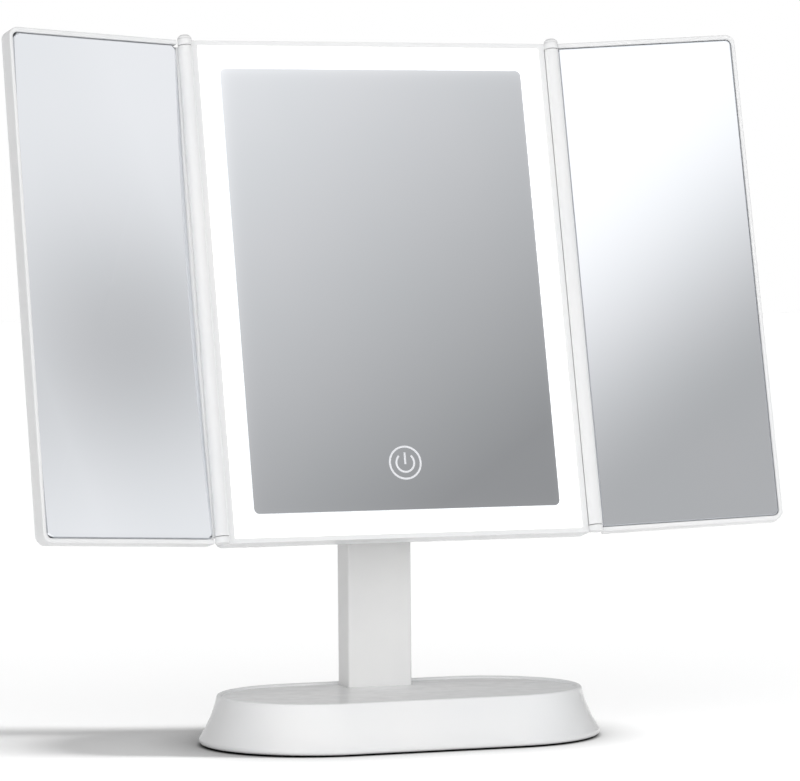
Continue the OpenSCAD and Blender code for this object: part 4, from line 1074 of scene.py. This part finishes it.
@dataclass
class Wing:
    """A folding wing: frame with its hinge barrel, back cover and mirror, drawn as the right one."""

    side: Side
    inner: float = 3.65
    outer: float = 89.95
    half_height: float = 119.0
    corner: float = 4.5
    bezel: float = 1.9
    bezel_end: float = 2.3
    glass_gap: float = 0.15
    front: float = 1.05
    glass_front: float = 1.65
    glass_corner: float = 2.6
    floor_y: float = 7.15
    floor_corner: float = 3.5
    floor_shift: float = 0.9
    seam_y: float = 8.35
    back_y: float = 10.55
    back_edge: float = 1.4
    barrel_radius: float = BARREL_RADIUS
    barrel_half: float = 115.7
    root: float = 0.6
    root_step: float = 1.4
    lens_radius: float = 2500.0
    HINGE_CORNERS: ClassVar[tuple] = (1, 0.12, 0.12, 1)

    def __post_init__(self) -> None:
        """Works out what depends on the side."""
        self.place = wing_place(self.side)
        self.body = f"{self.side.name.lower()}_wing"
        self.tag = self.side.name.lower()
        self.glass_t = 3.0 if self.side is Side.RIGHT else 5.0  # the cap of the left one lies in its thickness

    def bezel_path(self, inset: np.ndarray, depth: np.ndarray) -> np.ndarray:
        """The way round the wing from the hinge's top end to its bottom end, at several insets.

        Straight along the top, round the outer corner, down the outer edge, round the lower corner and back.
        The inset is i at the outer edge and i times the ratio of the end bezel to the outer one at the ends.

        Args:
            inset: (K,) distance in from the outer edge.
            depth: (K,) depth of each line.

        Returns:
            (K, N, 3) x outwards, height and depth.
        """
        i = inset[:, None]
        ends = i * self.bezel_end / self.bezel
        x1, z1 = self.outer - i, self.half_height - ends
        r = np.maximum(self.corner - i, 0.4)
        t = np.radians(np.linspace(90, 0, 11))
        x = np.concatenate([np.full_like(r, self.inner), x1 - r + r * np.cos(t)], axis=1)
        z = np.concatenate([z1, z1 - r + r * np.sin(t)], axis=1)
        upper, lower = columns(x, z, depth[:, None]), columns(x, -z, depth[:, None])[:, ::-1]
        return np.concatenate([upper, lower], axis=1)

    def frame(self) -> None:
        """Makes the frame: a bezel on three sides, the floor behind the glass, and the barrel on its root."""
        made = Piece(f"wing_frame_{self.tag}_skin", self.place)
        w = self.bezel - self.glass_gap * 0.5
        section = eased([[0, self.seam_y], [0, self.front], [w, self.front], [w, self.seam_y]],
                        [0.25, 0.7, 0.85, 0], 5, closed=True)
        made.shell(np.swapaxes(self.bezel_path(*section.T), 0, 1))
        middle, reach = (self.inner + self.outer) / 2, (self.outer - self.inner) / 2
        floor = bar(reach - 1, self.half_height - 1, self.floor_corner, self.floor_y, self.seam_y - 0.02,
                    self.HINGE_CORNERS)
        made.shell(floor, at=(middle - self.floor_shift, 0, 0))
        r, end = self.barrel_radius, self.barrel_half
        barrel = eased([[0.4, -end], [r, -end], [r, end], [0.4, end]], [0, 0.3, 0.3, 0])
        made.shell(turned(barrel, 64), Lie.FLAT)
        deep, wide = (self.seam_y - self.front - self.root_step) / 2, (self.inner - self.root) / 2
        root = bar(wide + 0.02, deep, 0.05, -end, end, steps=2)
        made.shell(root, Lie.FLAT, at=(self.root + wide, self.seam_y - deep, 0))
        dress(made.make(), self.body, f"wing_frame_{self.tag}")

    def cover(self) -> None:
        """Makes the back cover: the wing's outline with its back edge rounded over."""
        middle, r, seam = (self.inner + self.outer) / 2, self.corner, self.seam_y
        a, b, e = middle - self.inner, self.half_height, self.back_edge
        t = np.radians(np.linspace(0, 90, 9))
        inset = e * (1 - np.cos(t))
        over = columns(a - inset, b - inset, r - inset, self.back_y - e + e * np.sin(t))
        start = eased([[a - 1, b - 1, r - 1, seam], [a, b, r, seam], over[0].tolist()], [0, 0.25, 0])
        made = Piece(f"wing_back_{self.tag}_skin", self.place)
        made.shell(rings(np.concatenate([start[:-1], over]), self.HINGE_CORNERS), at=(middle, 0, 0))
        dress(made.make(), self.body, f"wing_back_{self.tag}")

    def even_outline(self, a: float, b: float, radius: float, count: int = 160) -> np.ndarray:
        """The glass outline with its points evenly spaced along it, found by length along the outline.

        Args:
            a: half width.
            b: half height.
            radius: radius of the outer corners.
            count: number of points.

        Returns:
            (count, 2) across and up.
        """
        rough = rings(np.array([[a, b, radius, 0.0]]), self.HINGE_CORNERS, 12)[0, :, :2]
        rough = np.concatenate([rough, rough[:1]])
        along = np.concatenate([[0], np.cumsum(np.linalg.norm(np.diff(rough, axis=0), axis=1))])
        even = np.linspace(0, along[-1], count, endpoint=False)
        return np.stack([np.interp(even, along, rough[:, k]) for k in (0, 1)], axis=-1)

    def mirror(self) -> None:
        """Makes the mirror: a flat plate on the right; on the left its face is the cap of a large sphere.

        The cap's depth at distance d from the middle is rim + sqrt(R^2 - d^2) - sqrt(R^2 - D^2), with D at the corner.
        """
        width = self.outer - self.bezel - self.glass_gap - self.inner
        a, b, r = width / 2, self.half_height - self.bezel_end - self.glass_gap, self.glass_corner
        middle, front, back = (self.inner + a, 0, 0), self.glass_front, self.glass_front + self.glass_t
        made = Piece(f"wing_mirror_{self.tag}_glass", self.place)
        if self.side is Side.RIGHT:
            made.shell(seamed((a, b), r, front, back, self.HINGE_CORNERS), at=middle, finish=1, lids=(0, 2))
            made.refinish(0, 1, 0)
        else:
            inner, outline = self.even_outline(a - SEAM, b - SEAM, r - SEAM), self.even_outline(a, b, r)
            flat = inner[None] * np.linspace(0.01, 1.0, 40)[:, None, None]
            dip = np.sqrt(self.lens_radius**2 - (flat**2).sum(-1)) - math.sqrt(self.lens_radius**2 - a**2 - b**2)
            face = columns(*np.moveaxis(flat, -1, 0), front + dip)
            rim = [columns(*outline.T * share, depth)[None]
                   for share, depth in ((1, front + dip[-1] + SEAM), (1, back), (0.98, back))]
            made.shell(np.concatenate([face, *rim]), at=middle, lids=(0, 2))
            made.refinish(len(face), len(face) + 2, 1)
        dress(made.make(), self.body, f"wing_mirror_{self.tag}", (MIRROR, GLASS_EDGE, MIRROR_BACK),
              Shading.GLASS)

    def build(self) -> None:
        """Makes the wing's pieces."""
        self.frame()
        self.cover()
        self.mirror()


# ---------- What stays as it was packed ----------


class Insides:
    """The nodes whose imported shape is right, with the finish that each of them gets."""

    FINISHES: ClassVar[dict] = {
        ZINC_STEEL: ("base_screws", "foot_screws", "tilt_bolt", "tilt_nut", "friction_washers", "board_screws",
                     "bracket_screws", "housing_screws", "hinge_pins", "stem_foot"),
        ROLLED_STEEL: ("ballast_plate",),
        RUBBER: ("foot_pad",),
        ABS_INNER: ("base_plate", "mirror_chassis"),
        FOAM: ("mirror_tape", "wing_pad_left", "wing_pad_right"),
        LAMP_BOARD: ("led_board",),
        PHOSPHOR: ("led_chips",),
        BOARD: ("control_board",),
        CHIP: ("board_components",),
        NICKEL: ("charging_inlet",),
        SPRING: ("touch_spring", "battery_contacts"),
        ETCHED: ("touch_symbol",),
        SLEEVE: ("battery_cells",),
        INSULATION: ("wiring",),
        ACETAL: ("hinge_bushes_left", "hinge_bushes_right"),
    }

    def build(self) -> None:
        """Gives every node that stays its finish."""
        for finish, names in self.FINISHES.items():
            for name in names:
                slots = frame["nodes"][name].data.materials
                if not slots:
                    slots.append(None)
                for i in range(len(slots)):
                    slots[i] = finish.material()
                log.info("%s keeps its shape: %s", name, finish.name)


# ---------- Studio ----------


@dataclass
class Studio:
    """The pale floor, the lamp, the surroundings that the mirrors show, and the camera.

    Attributes:
        ambient: the light from behind and from the middle of the side at ambient_az and ambient_el.
        floor_tones: the floor's tone for the light that it sends on, and where it is seen.
        lift: the light that the floor gains where it is seen.
        contact: how far in metres things darken the floor beside them, and the power of that shade.
    """

    eye: tuple = (-0.60967, -1.75547, 0.22146)
    right: tuple = (0.9443318, -0.3288777, -0.0087674)
    up: tuple = (0.0186192, 0.0268185, 0.9994669)
    forward: tuple = (0.3284672, 0.9439917, -0.0314490)
    lens: float = 179.452
    sensor: float = 36.0
    ambient: tuple = (0.11, 1.6)
    ambient_az: float = -12.0
    ambient_el: float = -10.0
    key: float = 9.6
    key_width: float = 12.0
    key_az: float = 69.0
    key_el: float = 12.5
    floor_tones: tuple = (0.70, 0.8)
    lift: float = 0.12
    contact: tuple = (0.036, 1.5)
    box: float = 1.6

    def camera(self) -> None:
        """Sets the camera at the photograph's viewing angle."""
        data = bpy.data.cameras.new("viewpoint")
        data.lens, data.sensor_width, data.sensor_fit = self.lens, self.sensor, "HORIZONTAL"
        data.clip_start, data.clip_end = 0.05, 60.0
        made = bpy.data.objects.new("viewpoint", data)
        turn = np.array([self.right, self.up, [-v for v in self.forward]]).T
        pose = np.eye(4)
        pose[:3, :3] = turn
        pose[:3, 3] = self.eye
        made.matrix_world = Matrix(pose.tolist())
        bpy.context.scene.collection.objects.link(made)
        bpy.context.scene.camera = made

    def floor(self) -> Thing:
        """Lays the floor: a wide matt sheet, lifted towards white where the camera, metal or glass shows it.

        Right beside what stands on it the sheet is darker, since light from all round is blocked there.

        Returns:
            The sheet.
        """
        mesh = bpy.data.meshes.new("floor")
        mesh.from_pydata([(FLOOR_REACH * x, FLOOR_REACH * y, 0) for x, y in CORNERS], [], [[0, 2, 3, 1]])
        made = bpy.data.objects.new("floor", mesh)
        bpy.context.scene.collection.objects.link(made)
        paper = bpy.data.materials.new("Paper, white, matt")
        paper.use_nodes = True
        tree, shader = paper.node_tree, paper.node_tree.nodes["Principled BSDF"]
        reach, power = self.contact
        known = {**outputs(tree, "LightPath"), **outputs(tree, "AmbientOcclusion", {"Distance": reach})}
        values = solve(tree, known, [
            ("seen", "MAXIMUM", "Is Camera Ray", "Is Glossy Ray"), ("seen", "MAXIMUM", "seen", "Is Transmission Ray"),
            ("shade", "POWER", "AO", power), ("lift", "MULTIPLY", "seen", self.lift),
            ("lift", "MULTIPLY", "lift", "shade"), ("tone", "LINEAR", "seen", 0.0, 1.0, *self.floor_tones),
            ("tone", "MULTIPLY", "tone", "shade")])
        for name, value in (("Roughness", 1.0), ("Specular IOR Level", 0.0), ("Emission Color", WHITE)):
            shader.inputs[name].default_value = value
        tree.links.new(values["lift"], shader.inputs["Emission Strength"])
        tree.links.new(values["tone"], shader.inputs["Base Color"])
        mesh.materials.append(paper)
        return made

    def lamp(self, floor: Thing) -> None:
        """Hangs the key, a low soft light from the right that lights only the floor and throws the base's shadow.

        Args:
            floor: the sheet that it lights.
        """
        data = bpy.data.lights.new("key", "SUN")
        data.energy, data.angle = self.key, math.radians(self.key_width)
        made = bpy.data.objects.new("key", data)
        back = self.direction(self.key_az, self.key_el)
        right = np.cross([0, 0, 1], back)
        right /= np.linalg.norm(right)
        pose = np.eye(4)
        pose[:3, :3] = np.array([right, np.cross(back, right), back]).T
        made.matrix_world = Matrix(pose.tolist())
        made.visible_glossy = False  # the mirrors don't show the lamp
        lit = bpy.data.collections.new("lit by the key")
        lit.objects.link(floor)
        made.light_linking.receiver_collection = lit
        bpy.context.scene.collection.objects.link(made)

    @staticmethod
    def direction(azimuth: float, elevation: float) -> np.ndarray:
        """The unit vector at an azimuth from -y towards +x and an elevation, both in degrees."""
        az, el = math.radians(azimuth), math.radians(elevation)
        return np.array([math.cos(el) * math.sin(az), -math.cos(el) * math.cos(az), math.sin(el)])

    def world(self) -> None:
        """Makes the surroundings: white behind the object, and soft grey fades in front that the mirrors show.

        Directions are told by their azimuth from the -y direction towards +x, and by their elevation. The centre
        mirror looks up at about 21 degrees azimuth, the right one at -2 and the left one at 44.
        """
        sky = bpy.data.worlds.new("surroundings")
        bpy.context.scene.world = sky
        sky.use_nodes = True
        tree = sky.node_tree
        tree.nodes.clear()
        where = add_node(tree, "TexCoord").outputs["Generated"]
        towards = self.direction(self.ambient_az, self.ambient_el).tolist()
        facing = add_node(tree, "VectorMath", {0: where, 1: towards}, operation="DOT_PRODUCT").outputs["Value"]
        known = {"facing": facing, "box": 1.0, **outputs(tree, "SeparateXYZ", {0: where}), **outputs(tree, "LightPath")}
        middle, band = 43.65, 22.5  # azimuth of the left mirror's middle, and height of its band
        rows = [
            ("ahead", "MULTIPLY", "Y", -1.0), ("azimuth", "ARCTAN2", "X", "ahead"),
            ("azimuth", "MULTIPLY", "azimuth", DEGREE), ("round", "ABSOLUTE", "azimuth"),
            ("height", "ARCSINE", "Z"), ("height", "MULTIPLY", "height", DEGREE),
            # Right: grey low down, white above, the edge leaning by azimuth
            ("lean", "MULTIPLY_ADD", "azimuth", -0.62, "height"),
            ("value", "SMOOTHSTEP", "lean", 23.8, 28.6, 0.49, 1.20),
            # Centre: an even fade up and to the left
            ("across", "MULTIPLY_ADD", "azimuth", -0.0345, -0.4455),
            ("centre", "MULTIPLY_ADD", "height", 0.071, "across"),
            ("centre", "MAXIMUM", "centre", 0.335), ("centre", "MINIMUM", "centre", 1.0),
            # Left: pale, with one darker band exp(-off^2), shallower towards both sides
            ("aside", "MULTIPLY_ADD", "azimuth", 1.33, -1.33 * middle), ("aside", "MULTIPLY", "aside", "aside"),
            ("aside", "MINIMUM", "aside", 1.5), ("off", "ADD", "height", 0.12 * middle - band),
            ("off", "MULTIPLY_ADD", "azimuth", -0.12, "off"), ("off", "MULTIPLY", "off", 1.95),
            ("square", "MULTIPLY", "off", "off"), ("square", "MULTIPLY", "square", -1.0),
            ("band", "EXPONENT", "square"), ("depth", "MULTIPLY_ADD", "aside", -0.065, 0.355),
            ("dark", "MULTIPLY", "band", "depth"), ("pale", "MULTIPLY_ADD", "aside", 0.02, 0.955 - 0.02 * band),
            ("pale", "MULTIPLY_ADD", "height", 0.02, "pale"), ("left", "SUBTRACT", "pale", "dark"),
            # Both sides, darker low down, show in the ground edges of the glass; behind shows in the tray
            ("side", "MULTIPLY_ADD", "height", 0.036, -0.2), ("side", "MAXIMUM", "side", 0.42),
            ("side", "MINIMUM", "side", 0.72), ("behind", "SMOOTHSTEP", "round", 150, 170, 0.58, 0.74)]
        for way, start, stop, target in (("azimuth", 6, 13, "centre"), ("azimuth", 29, 36, "left"),
                                         ("round", 60, 85, "side"), ("round", 120, 148, "behind"),
                                         ("height", 52, 64, 0.3)):
            rows += [("share", "SMOOTHSTEP", way, start, stop, 0, 1),
                     ("value", "LINEAR", "share", 0, 1, "value", target)]
        # A soft box in front and above, which rounded edges and the skirt pick up
        for way, start, stop in (("height", 33, 40), ("height", 62, 54), ("azimuth", -85, -60), ("azimuth", 45, 20)):
            rows += [("edge", "SMOOTHSTEP", way, start, stop, 0, 1), ("box", "MULTIPLY", "box", "edge")]
        rows += [("value", "LINEAR", "box", 0, 1, "value", self.box),
                 ("soft", "SMOOTHSTEP", "facing", -0.3, 0.9, *self.ambient),
                 ("unlit", "LINEAR", "Is Glossy Ray", 0, 1, "soft", "value"),
                 ("seen", "MAXIMUM", "Is Camera Ray", "Is Transmission Ray"),
                 ("strength", "LINEAR", "seen", 0, 1, "unlit", 1.0)]
        strength = solve(tree, known, rows)["strength"]
        ground = add_node(tree, "Background", {"Color": WHITE, "Strength": strength})
        add_node(tree, "OutputWorld", {0: ground.outputs[0]})

    def build(self) -> None:
        """Makes the studio."""
        self.world()
        self.lamp(self.floor())
        bpy.context.scene.view_settings.view_transform = "Standard"


def main() -> None:
    logging.basicConfig(level=logging.INFO, format="%(name)s: %(message)s")
    studio = Studio()
    studio.camera()
    studio.build()
    for part in (Base(), Stem(), Panel(), Back(), Wing(Side.LEFT), Wing(Side.RIGHT), Insides()):
        part.build()


if __name__ == "__main__":
    main()
